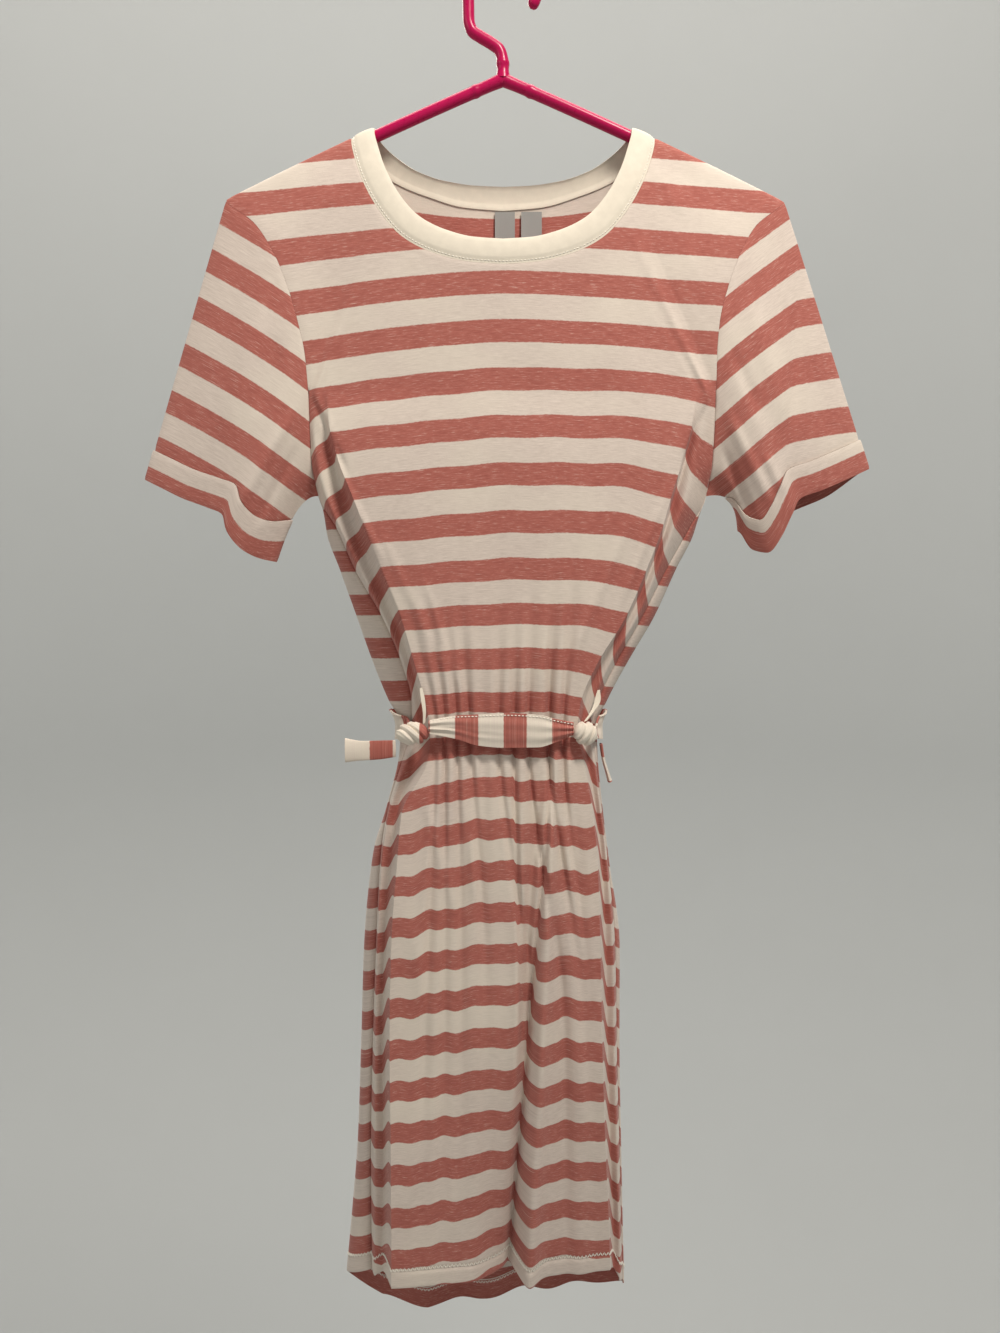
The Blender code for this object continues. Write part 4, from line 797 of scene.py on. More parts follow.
def neck_half(facing, edge, middle_cells):
    """One edge of the neckband, shoulder to centre on the right; edge is seam or free."""
    band = FRONT_BAND if facing < 0 else BACK_BAND
    seam = np.array([(row.seam_x, row.seam_depth, row.seam_z) for row in band])
    length = lengths(seam)
    names = [edge + part for part in ("_x", "_depth", "_z")]
    points = np.array([[getattr(row, name) for name in names] for row in band]) * (1, facing, 1)
    turn = ARMHOLE_NECK_SHARE * length[-1]
    armhole_cells = len(ARMHOLES["left"]) - 1
    beside = np.linspace(length[2], turn, armhole_cells + 1)[1:]
    corner = np.concatenate([length[:3], beside])
    middle = np.linspace(turn, length[-1], middle_cells + 1)[1:]
    where = np.concatenate([split_steps(corner, CELL_SPLIT), middle])
    return np.stack([pchip(length, points[:, axis], where) for axis in range(3)], axis=-1)


def neck_line(facing, edge, cells):
    """One edge of the neckband over a panel, left shoulder to right shoulder."""
    half = neck_half(facing, edge, cells // 2)
    return np.concatenate([half * (-1, 1, 1), half[-2::-1]])


def armhole_edge(side, facing):
    """The armhole from the shoulder's crest down to the chest row."""
    sign = SIDES[side]
    tip_x = SHOULDER_TIP_X[side]
    crest = np.array([sign * tip_x, 0.0, arm_z(tip_x) + CREST_RISE])
    half = crest + (0.0, facing * CREST_SHOULDER_DEPTH, -CREST_SHOULDER_DROP)
    table = [(sign * row.x, facing * row.depth, row.z) for row in ARMHOLES[side][::-1]]
    points = np.array([crest, half] + table)
    where = np.arange((len(points) - 1) * CELL_SPLIT + 1) / CELL_SPLIT
    return np.stack([pchip(range(len(points)), points[:, axis], where) for axis in range(3)], axis=-1)


def yoke(lower, facing):
    """A panel above the chest row: straight rays from the neck edge to shoulder, armhole and chest.

    Columns run as the panel's do, rows from the chest row to the neck edge.
    """
    order = ("left", "right") if facing < 0 else ("right", "left")
    start = armhole_edge(order[0], facing)
    end = armhole_edge(order[1], facing)[::-1]
    outer = np.concatenate([start[:-1], lower[-1], end[1:]])
    inner = neck_line(facing, "seam", lower.shape[1] - 1)
    inner = inner if facing < 0 else inner[::-1]
    steps = split_steps(np.array(YOKE_STEPS), YOKE_SPLIT)[:, None, None]
    grid = inner[None] * (1 - steps) + outer[None] * steps
    index = np.arange(len(outer)) / CELL_SPLIT
    wrap = np.clip(3.0 - np.minimum(index, index[::-1]), 0.0, 1.0)
    x = grid[..., 0]
    grid[..., 2] += wrap * ARM_DROOP * np.abs((x - inner[None, :, 0]) * (outer[None, :, 0] - x))
    inside = np.clip(4 * steps[..., 0] * (1 - steps[..., 0]), 0, 1) * (1 - wrap)
    ripple = crease_relief(FRONT_CREASES, x, grid[..., 2]) if facing < 0 else 0.0
    grid[..., 1] += facing * inside * (ripple - facing * waves(CLOTH_WAVES, x, grid[..., 2]))
    return grid


class Sheet:
    """A piece of cloth before it gets its thickness: outer points, faces and stripe course.

    turned_up is the course of the first points of its inner side, where a hem is turned up.
    """

    def __init__(self, name, wall):
        self.name = name
        self.wall = wall
        self.points = np.zeros((0, 3))
        self.course = np.zeros(0)
        self.faces = np.zeros((0, 4), dtype=int)
        self.turned_up = np.zeros(0)

    def add_points(self, points, course):
        """Add points with their stripe course; gives the first one's number."""
        first = len(self.points)
        self.points = np.concatenate([self.points, points.reshape(-1, 3)])
        self.course = np.concatenate([self.course, np.broadcast_to(course, points.shape[:-1]).ravel()])
        return first

    def add_faces(self, number, closed=False):
        """Add the faces of a grid of point numbers, closed round its columns if asked."""
        if closed:
            number = np.concatenate([number, number[:, :1]], axis=1)
        quads = np.stack([number[:-1, :-1], number[:-1, 1:], number[1:, 1:], number[1:, :-1]], axis=-1)
        self.faces = np.concatenate([self.faces, quads.reshape(-1, 4)])

    def add_grid(self, grid, course=0.0, closed=False):
        """Add a grid of points and its faces; gives the points' numbers."""
        first = self.add_points(grid, course)
        number = first + np.arange(grid.shape[0] * grid.shape[1]).reshape(grid.shape[:2])
        self.add_faces(number, closed)
        return number

    def rims(self):
        """The edges that only one face has, each running as its face does, and their faces."""
        edges = np.concatenate([self.faces[:, [k, (k + 1) % 4]] for k in range(4)])
        count = len(self.points)
        alone = ~np.isin(edges[:, 1] * count + edges[:, 0], edges[:, 0] * count + edges[:, 1])
        owner = np.tile(np.arange(len(self.faces)), 4)
        return edges[alone], owner[alone]

    def inward(self):
        """A unit step from each rim point into the cloth, square to the rim, and zero elsewhere."""
        edges, owner = self.rims()
        run = self.points[edges[:, 1]] - self.points[edges[:, 0]]
        step = np.cross(face_normals(self.points, self.faces[owner]), run)
        step /= np.linalg.norm(step, axis=1)[:, None]
        inward = np.zeros_like(self.points)
        np.add.at(inward, edges[:, 0], step)
        np.add.at(inward, edges[:, 1], step)
        rim = np.unique(edges)
        inward[rim] /= np.linalg.norm(inward[rim], axis=1)[:, None]
        return inward

    def solid(self, normals, gap=0.0, out=0.0, dip=0.0):
        """Points, faces and course of the closed wall: moved out whole, and dipped at its seams."""
        inward = self.inward()
        rim = np.any(inward != 0, axis=1)[:, None]
        outer = self.points + gap * inward + (out - dip * rim) * normals
        inner = outer - self.wall * normals
        points = np.concatenate([outer, inner])
        skin = halved(points, self.faces)
        count = len(outer)
        rims = self.rims()[0]
        strips = np.stack([rims[:, 1], rims[:, 0], rims[:, 0] + count, rims[:, 1] + count], axis=-1)
        faces = np.concatenate([skin, skin[:, ::-1] + count, halved(points, strips)])
        inner_course = self.course.copy()
        inner_course[:len(self.turned_up)] = self.turned_up
        return points, faces, np.concatenate([self.course, inner_course])


def face_normals(points, faces):
    """The unit normal of each four-cornered face: the cross product of its diagonals."""
    corners = points[faces]
    normal = np.cross(corners[:, 2] - corners[:, 0], corners[:, 3] - corners[:, 1])
    return normal / np.maximum(np.linalg.norm(normal, axis=1), 1e-12)[:, None]


def halved(points, faces):
    """Each four-cornered face cut into two triangles along its shorter diagonal."""
    corners = points[faces]
    first = np.linalg.norm(corners[:, 0] - corners[:, 2], axis=1)
    second = np.linalg.norm(corners[:, 1] - corners[:, 3], axis=1)
    turned = np.where((second < first)[:, None], np.roll(faces, -1, axis=1), faces)
    return np.concatenate([turned[:, [0, 1, 2]], turned[:, [0, 2, 3]]])


def sewn_normals(sheets, fixed=()):
    """Outward normals of sheets that meet at seams: where points coincide they share one.

    fixed holds pairs of a point and the direction its normal takes.
    """
    points = np.concatenate([sheet.points for sheet in sheets])
    places, spot = np.unique(np.round(points, 3), axis=0, return_inverse=True)
    spot = spot.ravel()
    total = np.zeros((len(places), 3))
    first = 0
    for sheet in sheets:
        normal = face_normals(sheet.points, sheet.faces)
        for corner in range(4):
            np.add.at(total, spot[first + sheet.faces[:, corner]], normal)
        first += len(sheet.points)
    for point, direction in fixed:
        total[np.all(places == np.round(point, 3), axis=1)] = direction
    total /= np.linalg.norm(total, axis=1)[:, None]
    split = np.cumsum([len(sheet.points) for sheet in sheets])[:-1]
    return np.split(total[spot], split)


def panel_sheet(name, facing, lower, course, wall):
    """A front or back panel: its grid up to the chest row and the fan of rays above.

    The fan's course is that of its height and hang, and meets the grid's in a cubic blend.
    """
    sheet = Sheet(name, wall)
    number = sheet.add_grid(lower, course)
    fan = yoke(lower, facing)
    ends = (fan.shape[1] - lower.shape[1]) // 2
    steps = split_steps(np.array(YOKE_STEPS), YOKE_SPLIT)[:, None]
    hang = yoke_hang(fan[..., 0], fan[..., 2])
    if facing > 0:
        hang += BACK_HANG * (1 - np.clip(np.abs(fan[..., 0]) / BACK_YOKE_WIDTH, 0.0, 1.0) ** 2)
    chest = course[-1] - level_course(lower[-1, :, 2]) - hang[0, ends:-ends]
    chest = np.concatenate([np.full(ends, chest[0]), chest, np.full(ends, chest[-1])])
    corner = np.clip(np.arange(len(chest)) / ends, 0.0, 1.0)
    chest = chest * np.minimum(corner, corner[::-1])
    fan_course = level_course(fan[..., 2]) + hang + steps ** 3 * chest
    fresh = np.ones(fan.shape[:2], dtype=bool)
    fresh[0, ends:-ends] = False
    inside = np.zeros(fan.shape[:2], dtype=int)
    inside[fresh] = sheet.add_points(fan[fresh], fan_course[fresh]) + np.arange(fresh.sum())
    inside[0, ends:-ends] = number[-1]
    sheet.add_faces(inside)
    return sheet


def sleeve_loop(side, lower_front, lower_back):
    """Armhole points from the underarm up the front, over the shoulder and down the back."""
    first = UNDERARM_LEVEL * LEVEL_SPLIT + HEM_ROWS * (HEM_SPLIT - 1)
    columns = (0, -1) if side == "left" else (-1, 0)
    front = np.concatenate([lower_front[first:-1, columns[0]], armhole_edge(side, -1.0)[::-1]])
    back = np.concatenate([lower_back[first:-1, columns[1]], armhole_edge(side, 1.0)[::-1]])
    return np.concatenate([front, back[-2:0:-1]])


def loop_shares(loop):
    """How far each loop point lies from the underarm, 0, to the shoulder, 1."""
    top = len(loop) // 2
    up = lengths(loop[:top + 1])
    down = lengths(np.concatenate([loop[top:], loop[:1]]))
    return np.concatenate([up / up[-1], 1 - down[1:-1] / down[-1]])


def edge_points(table, side):
    """The points of a cuff's edge table."""
    return np.array([(SIDES[side] * row.x, -row.depth, row.z) for row in table])


def sleeve_points(side, loop, fractions):
    """Rows of points along the sleeve: straight lines from armhole to cuff, swollen between.

    fractions has a row for each ring and a column for each point of the loop.
    """
    top = len(loop) // 2
    share = loop_shares(loop)
    front = along(edge_points(CUFF_FRONTS[side], side), 1 - share[:top + 1])
    back = along(edge_points(CUFF_BACKS[side], side), 1 - share[top + 1:])
    low = np.concatenate([front, back])
    f = np.asarray(fractions)
    rows = loop[None] * (1 - f[..., None]) + low[None] * f[..., None]
    bow = 4 * f * (1 - f) * (1 - share) ** 3
    rows[..., 0] += SIDES[side] * UNDERARM_BOW[side][0] * bow
    rows[..., 2] += UNDERARM_BOW[side][1] * bow
    facing = np.where(np.arange(len(loop)) <= top, -1.0, 1.0)
    swell = 4 * f * (1 - f) * np.sin(np.pi * share)
    rows[..., 1] += facing * SLEEVE_SWELL * swell
    creases = crease_relief(SLEEVE_CREASES[side], rows[..., 0], rows[..., 2])
    rows[..., 1] += facing * np.clip(swell * 1.5, 0, 1) * creases
    return rows


def sleeve_sheets(side, loop, wall):
    """A sleeve and its cuff on one armhole loop, with their stripes across the sleeve's slope.

    Past the fold line the bands turn flatter, and between the folds they bulge down in a parabola.
    """
    low = sleeve_points(side, loop, np.ones((1, len(loop))))[0]
    seam = 1 - CUFF_DEPTH / np.linalg.norm(low - loop, axis=1)
    sleeve_grid = sleeve_points(side, loop, np.linspace(0.0, 1.0, SLEEVE_ROWS + 1)[:, None] * seam[None])
    steps = np.linspace(0.0, 1.0, CUFF_ROWS + 1)[:, None]
    cuff_grid = sleeve_points(side, loop, seam[None] + steps * (1 - seam)[None])
    stripe = SLEEVE_STRIPES[side]
    slope = math.radians(stripe.slope)
    height = math.cos(slope) * sleeve_grid[..., 2] - math.sin(slope) * np.abs(sleeve_grid[..., 0])
    past_fold = np.abs(sleeve_grid[..., 0]) - stripe.fold_x - SLEEVE_FOLD_LEAN * sleeve_grid[..., 2]
    height += SLEEVE_FOLD_TURN * math.sin(slope) * np.clip(past_fold, 0.0, None)
    share = loop_shares(loop)
    bulge = SLEEVE_BULGE * 4 * share * (1 - share) * np.linspace(0.0, 1.0, SLEEVE_ROWS + 1)[:, None]
    sleeve_course = (height - stripe.start) * STRIPE_STEP / stripe.step - bulge
    half = bpy.context.scene.mini_dress_sizes.pink_width / MM / 2
    cuff_course = np.broadcast_to(steps * CUFF_DEPTH - stripe.cuff_pink - half, cuff_grid.shape[:2])
    order = slice(None) if side == "left" else slice(None, None, -1)
    sleeve = Sheet("sleeve_" + side, wall)
    sleeve.add_grid(sleeve_grid[:, order], sleeve_course[:, order], closed=True)
    cuff = Sheet("cuff_" + side, wall)
    cuff.add_grid(cuff_grid[:, order], cuff_course, closed=True)
    return [sleeve, cuff]


def neckband_grid(front_cells, back_cells):
    """The neckband from seam to free edge: a straight blend, crowned in a parabola and dented once."""
    edges = []
    for edge in ("seam", "free"):
        front = neck_line(-1.0, edge, front_cells)
        back = neck_line(1.0, edge, back_cells)
        edges.append(np.concatenate([front, back[-2:0:-1]]))
    seam, free = edges
    middle = (seam + free) / 2
    around = np.roll(middle, -1, axis=0) - np.roll(middle, 1, axis=0)
    normal = np.cross(around, free - seam)
    normal /= np.linalg.norm(normal, axis=1)[:, None]
    steps = np.linspace(0.0, 1.0, BAND_ROWS + 1)[:, None, None]
    crown = BAND_CROWN * 4 * steps * (1 - steps)
    crown[1] -= BAND_DENT
    return seam * (1 - steps) + free * steps + crown * normal


@functools.lru_cache(maxsize=1)
def sewn_cloth():
    """All the pieces that are sewn to each other, with their normals, as a dictionary by name."""
    sizes = bpy.context.scene.mini_dress_sizes
    wall = sizes.wall / MM
    levels = panel_levels()
    lower_front, front_course = front_lower(levels)
    lower_back, back_course = back_lower(levels)
    front = panel_sheet("front", -1.0, lower_front, front_course, wall)
    back = panel_sheet("back", 1.0, lower_back, back_course, wall)
    hem = sizes.hem_height / MM
    turned = levels[levels < HEM_Z + hem] - HEM_Z - hem / 2
    back.turned_up = np.repeat(HEM_TURN_COURSE - turned, lower_back.shape[1])
    band = Sheet("neckband", sizes.band_wall / MM)
    band.add_grid(neckband_grid(lower_front.shape[1] - 1, lower_back.shape[1] - 1), closed=True)
    sheets = [front, back, band]
    underarms = []
    for side, sign in SIDES.items():
        loop = sleeve_loop(side, lower_front, lower_back)
        sheets += sleeve_sheets(side, loop, wall)
        underarms.append((loop[0], (sign * UNDERARM_OUT, 0.0, -UNDERARM_DOWN)))
    normals = sewn_normals(sheets, underarms)
    return {sheet.name: (sheet, normal) for sheet, normal in zip(sheets, normals)}


def mesh_piece(name, points, faces, material, course=None):
    """A mesh object from points in millimetres, with the stripe course on its points."""
    mesh = bpy.data.meshes.new(name)
    mesh.from_pydata((np.asarray(points) * MM).tolist(), [], np.asarray(faces).tolist())
    if course is not None:
        layer = mesh.attributes.new("course", "FLOAT", "POINT")
        layer.data.foreach_set("value", np.asarray(course, dtype=np.float32).ravel())
    mesh.materials.append(material)
    mesh.shade_smooth()
    mesh.set_sharp_from_angle(angle=math.radians(SHARP_ANGLE))
    piece = bpy.data.objects.new(name, mesh)
    bpy.context.scene.collection.objects.link(piece)
    return piece


def show(piece, node):
    """The piece stands for a CAD node, whose part it hides, and rides on the dress."""
    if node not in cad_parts:
        raise RuntimeError(node + " is not a piece of the frame")
    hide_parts(node)
    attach(piece, "root")
    return piece


class Signal:
    """One value in a shader, with ordinary arithmetic and a way to add any node."""

    def __init__(self, tree, socket):
        self.tree = tree
        self.socket = socket

    def node(self, kind, settings, inputs, output=0):
        """A new node: its settings first, then its inputs' values or links; gives one output."""
        node = self.tree.nodes.new(kind)
        for name, value in settings.items():
            setattr(node, name, value)
        for name, value in inputs.items():
            if isinstance(value, Signal):
                self.tree.links.new(value.socket, node.inputs[name])
            else:
                node.inputs[name].default_value = value
        return Signal(self.tree, node.outputs[output])

    def maths(self, operation, first, second=0.0):
        """A Math node on two values."""
        return self.node("ShaderNodeMath", {"operation": operation}, {0: first, 1: second})

    def __add__(self, other):
        return self.maths("ADD", self, other)

    def __radd__(self, other):
        return self.maths("ADD", other, self)

    def __sub__(self, other):
        return self.maths("SUBTRACT", self, other)

    def __rsub__(self, other):
        return self.maths("SUBTRACT", other, self)

    def __mul__(self, other):
        return self.maths("MULTIPLY", self, other)

    def __rmul__(self, other):
        return self.maths("MULTIPLY", other, self)

    def __truediv__(self, other):
        return self.maths("DIVIDE", self, other)

    def __rtruediv__(self, other):
        return self.maths("DIVIDE", other, self)

    def axis(self, number):
        """One coordinate of this place."""
        return self.node("ShaderNodeSeparateXYZ", {}, {"Vector": self}, output=number)

    def noise(self, scale, detail=2.0, roughness=0.5):
        """Smooth random values from 0 to 1 at this place."""
        inputs = {"Vector": self, "Scale": scale, "Detail": detail, "Roughness": roughness}
        return self.node("ShaderNodeTexNoise", {"noise_dimensions": "3D"}, inputs)

    def blend(self, first, second):
        """A mix of two colours, this value being the share of the second."""
        settings = {"data_type": "RGBA", "clamp_factor": True}
        return self.node("ShaderNodeMix", settings, {0: self, 6: first, 7: second}, output=2)

    def ramp(self, low, high):
        """0 below low, 1 above high and smooth between."""
        settings = {"interpolation_type": "SMOOTHSTEP"}
        inputs = {"Value": self, "From Min": low, "From Max": high, "To Min": 0.0, "To Max": 1.0}
        return self.node("ShaderNodeMapRange", settings, inputs)

    def bump(self, strength, distance):
        """The surface's normal, bent by this height: strength, and its full rise in metres."""
        inputs = {"Strength": strength, "Distance": distance, "Height": self}
        return self.node("ShaderNodeBump", {}, inputs)


def opaque(colour, share=1.0):
    """A share of a colour's brightness, as red, green, blue and alpha."""
    return (*(channel * share for channel in colour), 1.0)


def new_material(name, constants):
    """A material with one principled shader: gives the material, its shader and the place in metres."""
    material = bpy.data.materials.new(name)
    material.use_nodes = True
    tree = material.node_tree
    shader = tree.nodes["Principled BSDF"]
    for key, value in constants.items():
        shader.inputs[key].default_value = value
    return material, shader, Signal(tree, tree.nodes.new("ShaderNodeTexCoord").outputs["Object"])


def feed(shader, signal, name):
    """Link a signal to one of the shader's inputs."""
    signal.tree.links.new(signal.socket, shader.inputs[name])


# The jersey's settings, the same all over it
CLOTH_CONSTANTS = {"Roughness": 0.9, "Specular IOR Level": 0.25, "Sheen Weight": 0.12,
                   "Sheen Roughness": 0.5}
# Yarn marks: how close they lie, to a metre across the cloth and to a millimetre along the course
FLECK_SCALES = (170.0, 1.7)
STREAK_SCALES = (70.0, 2.6)
# The stripes' edges: how soft they are and how far they waver, in millimetres
STRIPE_EDGE = 0.4
STRIPE_WOBBLE = 0.7


def knit_relief(place, strength):
    """The jersey's surface: fine stitch grain over a softer slubby unevenness."""
    stretched = place.node("ShaderNodeMapping", {}, {"Vector": place, "Scale": (900.0, 900.0, 1500.0)})
    grain = stretched.noise(1.0, detail=1.0)
    slub = place.noise(90.0)
    return (grain * 0.6 + slub * 0.4).bump(strength, 0.0004)


def yarn_place(across, course, scales):
    """Where a point lies among the yarns: across the cloth and along the course, each times its scale."""
    return across.node("ShaderNodeCombineXYZ", {}, {0: across * scales[0], 2: course * scales[1]})


def jersey_material(name="striped_jersey_look", light=False):
    """Striped jersey: pink and cream bands of heathered yarn read from the stripe course."""
    sizes = bpy.context.scene.mini_dress_sizes
    colours = bpy.context.scene.mini_dress_colours
    material, shader, place = new_material(name, CLOTH_CONSTANTS)
    course = place.node("ShaderNodeAttribute", {"attribute_name": "course"}, {}, "Fac")
    across = place.axis(0) + place.axis(1) * 0.7
    flecks = yarn_place(across, course, FLECK_SCALES).noise(1.0, detail=3.0, roughness=0.7)
    streaks = yarn_place(across, course, STREAK_SCALES).noise(1.0)
    patches = place.noise(11.0).ramp(0.35, 0.75)
    heather = (flecks * 0.5 + streaks * 0.5).ramp(0.35, 0.65)
    bright = (flecks * 0.65 + streaks * 0.35).ramp(0.54, 0.66)

    wobble = (place.noise(500.0, detail=1.0) - 0.5) * STRIPE_WOBBLE
    turn = (course + wobble) / STRIPE_STEP + 0.5
    away = place.maths("ABSOLUTE", place.maths("FLOORED_MODULO", turn, 1.0) - 0.5)
    half = sizes.pink_width / MM / 2
    pale = (away * STRIPE_STEP).ramp(half - STRIPE_EDGE, half + STRIPE_EDGE)
    pink = heather.blend(opaque(colours.pink_dark), opaque(colours.pink))
    pink = (bright * 0.4).blend(pink, opaque(colours.cream))
    # With light set the cream is painted light: a paler copy of this jersey for the belt, which faces up
    # into the light
    tones = (colours.cream, colours.binding) if light else (colours.cream_dark, colours.cream)
    cream = heather.blend(opaque(tones[0]), opaque(tones[1]))
    cream = (patches * 0.5).blend(cream, opaque(colours.binding))
    feed(shader, pale.blend(pink, cream), "Base Color")
    feed(shader, heather * -0.06 + 0.92, "Roughness")
    feed(shader, knit_relief(place, 0.3), "Normal")
    return material


def belt_painted_light_material():
    """The belt's striped jersey with painted light: its cream is drawn as light as the neckband's, as the
    belt faces up into the light.
    """
    return jersey_material("belt_jersey_painted_light_look", light=True)


def cream_material():
    """Plain cream rib: warm yarn with faint streaks."""
    binding = bpy.context.scene.mini_dress_colours.binding
    material, shader, place = new_material("cream_jersey_look", CLOTH_CONSTANTS)
    tone = place.noise(160.0, detail=3.0).ramp(0.3, 0.75)
    feed(shader, tone.blend(opaque(binding, 0.94), opaque(binding)), "Base Color")
    feed(shader, tone * -0.05 + 0.92, "Roughness")
    feed(shader, knit_relief(place, 0.12), "Normal")
    return material


def thread_material():
    """Cream sewing thread with a slight gloss."""
    colour = bpy.context.scene.mini_dress_colours.thread
    constants = {"Roughness": 0.6, "Specular IOR Level": 0.4, "Sheen Weight": 0.1}
    material, shader, place = new_material("thread_look", constants)
    feed(shader, place.noise(900.0).blend(opaque(colour, 0.9), opaque(colour)), "Base Color")
    return material


def label_material():
    """Woven grey label, bare: fine crossing threads in colour and relief."""
    colour = bpy.context.scene.mini_dress_colours.label
    material, shader, place = new_material("woven_label_look", {"Roughness": 0.6})
    inputs = {"Vector": place, "Scale": 420.0}
    warp = place.node("ShaderNodeTexWave", {"wave_type": "BANDS", "bands_direction": "X"}, inputs, "Fac")
    weft = place.node("ShaderNodeTexWave", {"wave_type": "BANDS", "bands_direction": "Z"}, inputs, "Fac")
    weave = warp * 0.5 + weft * 0.5
    feed(shader, weave.blend(opaque(colour, 0.75), opaque(colour)), "Base Color")
    feed(shader, weave.bump(0.3, 0.0002), "Normal")
    return material


def hanger_material():
    """Glossy moulded plastic with a faint waviness and small scuffs."""
    colour = bpy.context.scene.mini_dress_colours.hanger
    constants = {"Roughness": 0.3, "Specular IOR Level": 0.28}
    material, shader, place = new_material("hanger_plastic_look", constants)
    scuffs = place.noise(240.0, detail=4.0, roughness=0.7)
    feed(shader, scuffs.blend(opaque(colour, 0.82), opaque(colour)), "Base Color")
    feed(shader, scuffs * 0.14 + 0.22, "Roughness")
    feed(shader, place.noise(60.0).bump(0.1, 0.0006), "Normal")
    return material


def backdrop_material():
    """Matt painted wall and floor with a barely uneven tone."""
    colour = bpy.context.scene.mini_dress_colours.backdrop
    material, shader, place = new_material("backdrop_look", {"Roughness": 0.85})
    feed(shader, place.noise(3.0).blend(opaque(colour, 0.97), opaque(colour)), "Base Color")
    return material


@functools.lru_cache(maxsize=None)
def material_of(name):
    """The material of a short name, made when it is first asked for."""
    makers = {"jersey": jersey_material, "belt": belt_painted_light_material, "cream": cream_material,
              "thread": thread_material, "label": label_material, "hanger": hanger_material,
              "backdrop": backdrop_material}
    return makers[name]()


# Flat size each sewn piece was cut to, its flat area in square metres, and what it hangs from
Cut = namedtuple("Cut", "width length area rests_on")


class DRESS_OT_sewn_cloth(bpy.types.Operator):
    """Build the front, back, neckband, sleeves and cuffs"""

    bl_idname = "mini_dress.sewn_cloth"
    bl_label = "Sewn cloth"

    def execute(self, context):
        gap = context.scene.mini_dress_sizes.seam_gap / MM / 2
        for name, (sheet, normals) in sewn_cloth().items():
            out = CUFF_LIFT if name.startswith("cuff") else 0.0
            points, faces, course = sheet.solid(normals, gap, out, SEAM_DIP)
            plain = name == "neckband"
            material = material_of("cream" if plain else "jersey")
            piece = mesh_piece("cloth_" + name, points, faces, material, course)
            show(piece, name)
        return {"FINISHED"}


def loose_piece(name, grid, course, wall, material):
    """A closed piece of cloth from one grid of outer points."""
    sheet = Sheet(name, wall)
    sheet.add_grid(grid, course)
    points, faces, course = sheet.solid(sewn_normals([sheet])[0])
    return mesh_piece(name, points, faces, material, course)


def belt_front_grid():
    """The belt's front length: rows from lower to upper edge, crowned, with long soft folds."""
    line = along(np.array(BELT_FRONT), np.linspace(0.0, 1.0, BELT_COLUMNS + 1))
    across = np.linspace(0.0, 1.0, BELT_ROWS + 1)[:, None]
    x = np.repeat(line[None, :, 0], BELT_ROWS + 1, axis=0)
    z = line[None, :, 3] * (1 - across) + line[None, :, 2] * across
    gather = np.clip((np.abs(x) - BELT_GATHER_START) / BELT_GATHER_REACH, 0.0, 1.0) ** 1.5
    ridges = 0.35 + 0.9 * gather
    folds = ridges * np.cos(2 * math.pi * (across * 2.6 + 0.15 + x / 260.0))
    long_fold = 1.1 * bell(across - 0.34 + x / 400.0, 0.05) * np.clip(-x / 30.0 + 0.6, 0, 1)
    y = long_fold - line[None, :, 1] - BELT_CROWN * 4 * across * (1 - across) - folds * 0.8
    return np.stack([x, y, z], axis=-1)


def belt_path(level):
    """The belt's outer line round the back at one height, right knot to left knot."""
    ends = []
    for side in ("right", "left"):
        sign = SIDES[side]
        roll = np.ravel(station(side, "roll", np.array([level])))
        turn = back_turn(side, np.array([level]))[0, ::CELL_SPLIT, :2]
        last = turn[-1] + (-sign * BELT_LEAD[0], BELT_LEAD[1])
        chain = np.concatenate([[(roll[0], KNOTS[side].belt_y)], turn, [last]])
        heading = np.gradient(chain, axis=0)
        heading /= np.linalg.norm(heading, axis=1)[:, None]
        ends.append(chain + sign * BELT_OUT * np.stack([heading[:, 1], -heading[:, 0]], axis=-1))
    return np.concatenate([ends[0], BELT_BACK_MIDDLE, ends[1][::-1]])


def belt_back_grid():
    """The belt round the back: a line round the waist at each height, with long soft folds."""
    rows = np.linspace(-0.5, 0.5, BELT_ROWS + 1)
    fractions = np.linspace(0.0, 1.0, 2 * BELT_COLUMNS + 1)
    grid = np.zeros((len(rows), len(fractions), 3))
    from_end = np.minimum(fractions, 1 - fractions)
    narrow = BELT_NARROW + (1 - BELT_NARROW) * smooth_step(from_end / BELT_TAPER)
    for number, row in enumerate(rows):
        grid[number, :, :2] = along(belt_path(WAIST_Z + row * BELT_WIDTH), fractions)
        grid[number, :, 2] = WAIST_Z + row * BELT_WIDTH * narrow
    inside = 1 - (2 * fractions - 1) ** 8
    ripple = 0.5 * np.cos(2 * math.pi * (rows[:, None] * 2.2 + fractions * 1.4))
    grid[..., 1] += inside * (0.8 * (1 - 4 * rows[:, None] ** 2) + ripple)
    return grid


def ring_faces(points, number):
    """Triangles between neighbouring rings, from a grid of point numbers with a row for each ring."""
    quads = np.stack([number[:-1, :-1], number[1:, :-1], number[1:, 1:], number[:-1, 1:]], axis=-1)
    return halved(points, quads.reshape(-1, 4))


def capped_rings(rings, poles):
    """Points and faces of closed rings joined in order, with a fan to a pole at each end."""
    count, sides = rings.shape[:2]
    points = np.concatenate([rings.reshape(-1, 3), poles])
    number = np.arange(count * sides).reshape(count, sides)
    number = np.concatenate([number, number[:, :1]], axis=1)
    first = count * sides
    first_cap = np.stack([np.full(sides, first), number[0, :-1], number[0, 1:]], axis=-1)
    last_cap = np.stack([np.full(sides, first + 1), number[-1, 1:], number[-1, :-1]], axis=-1)
    return points, np.concatenate([ring_faces(points, number), first_cap, last_cap])


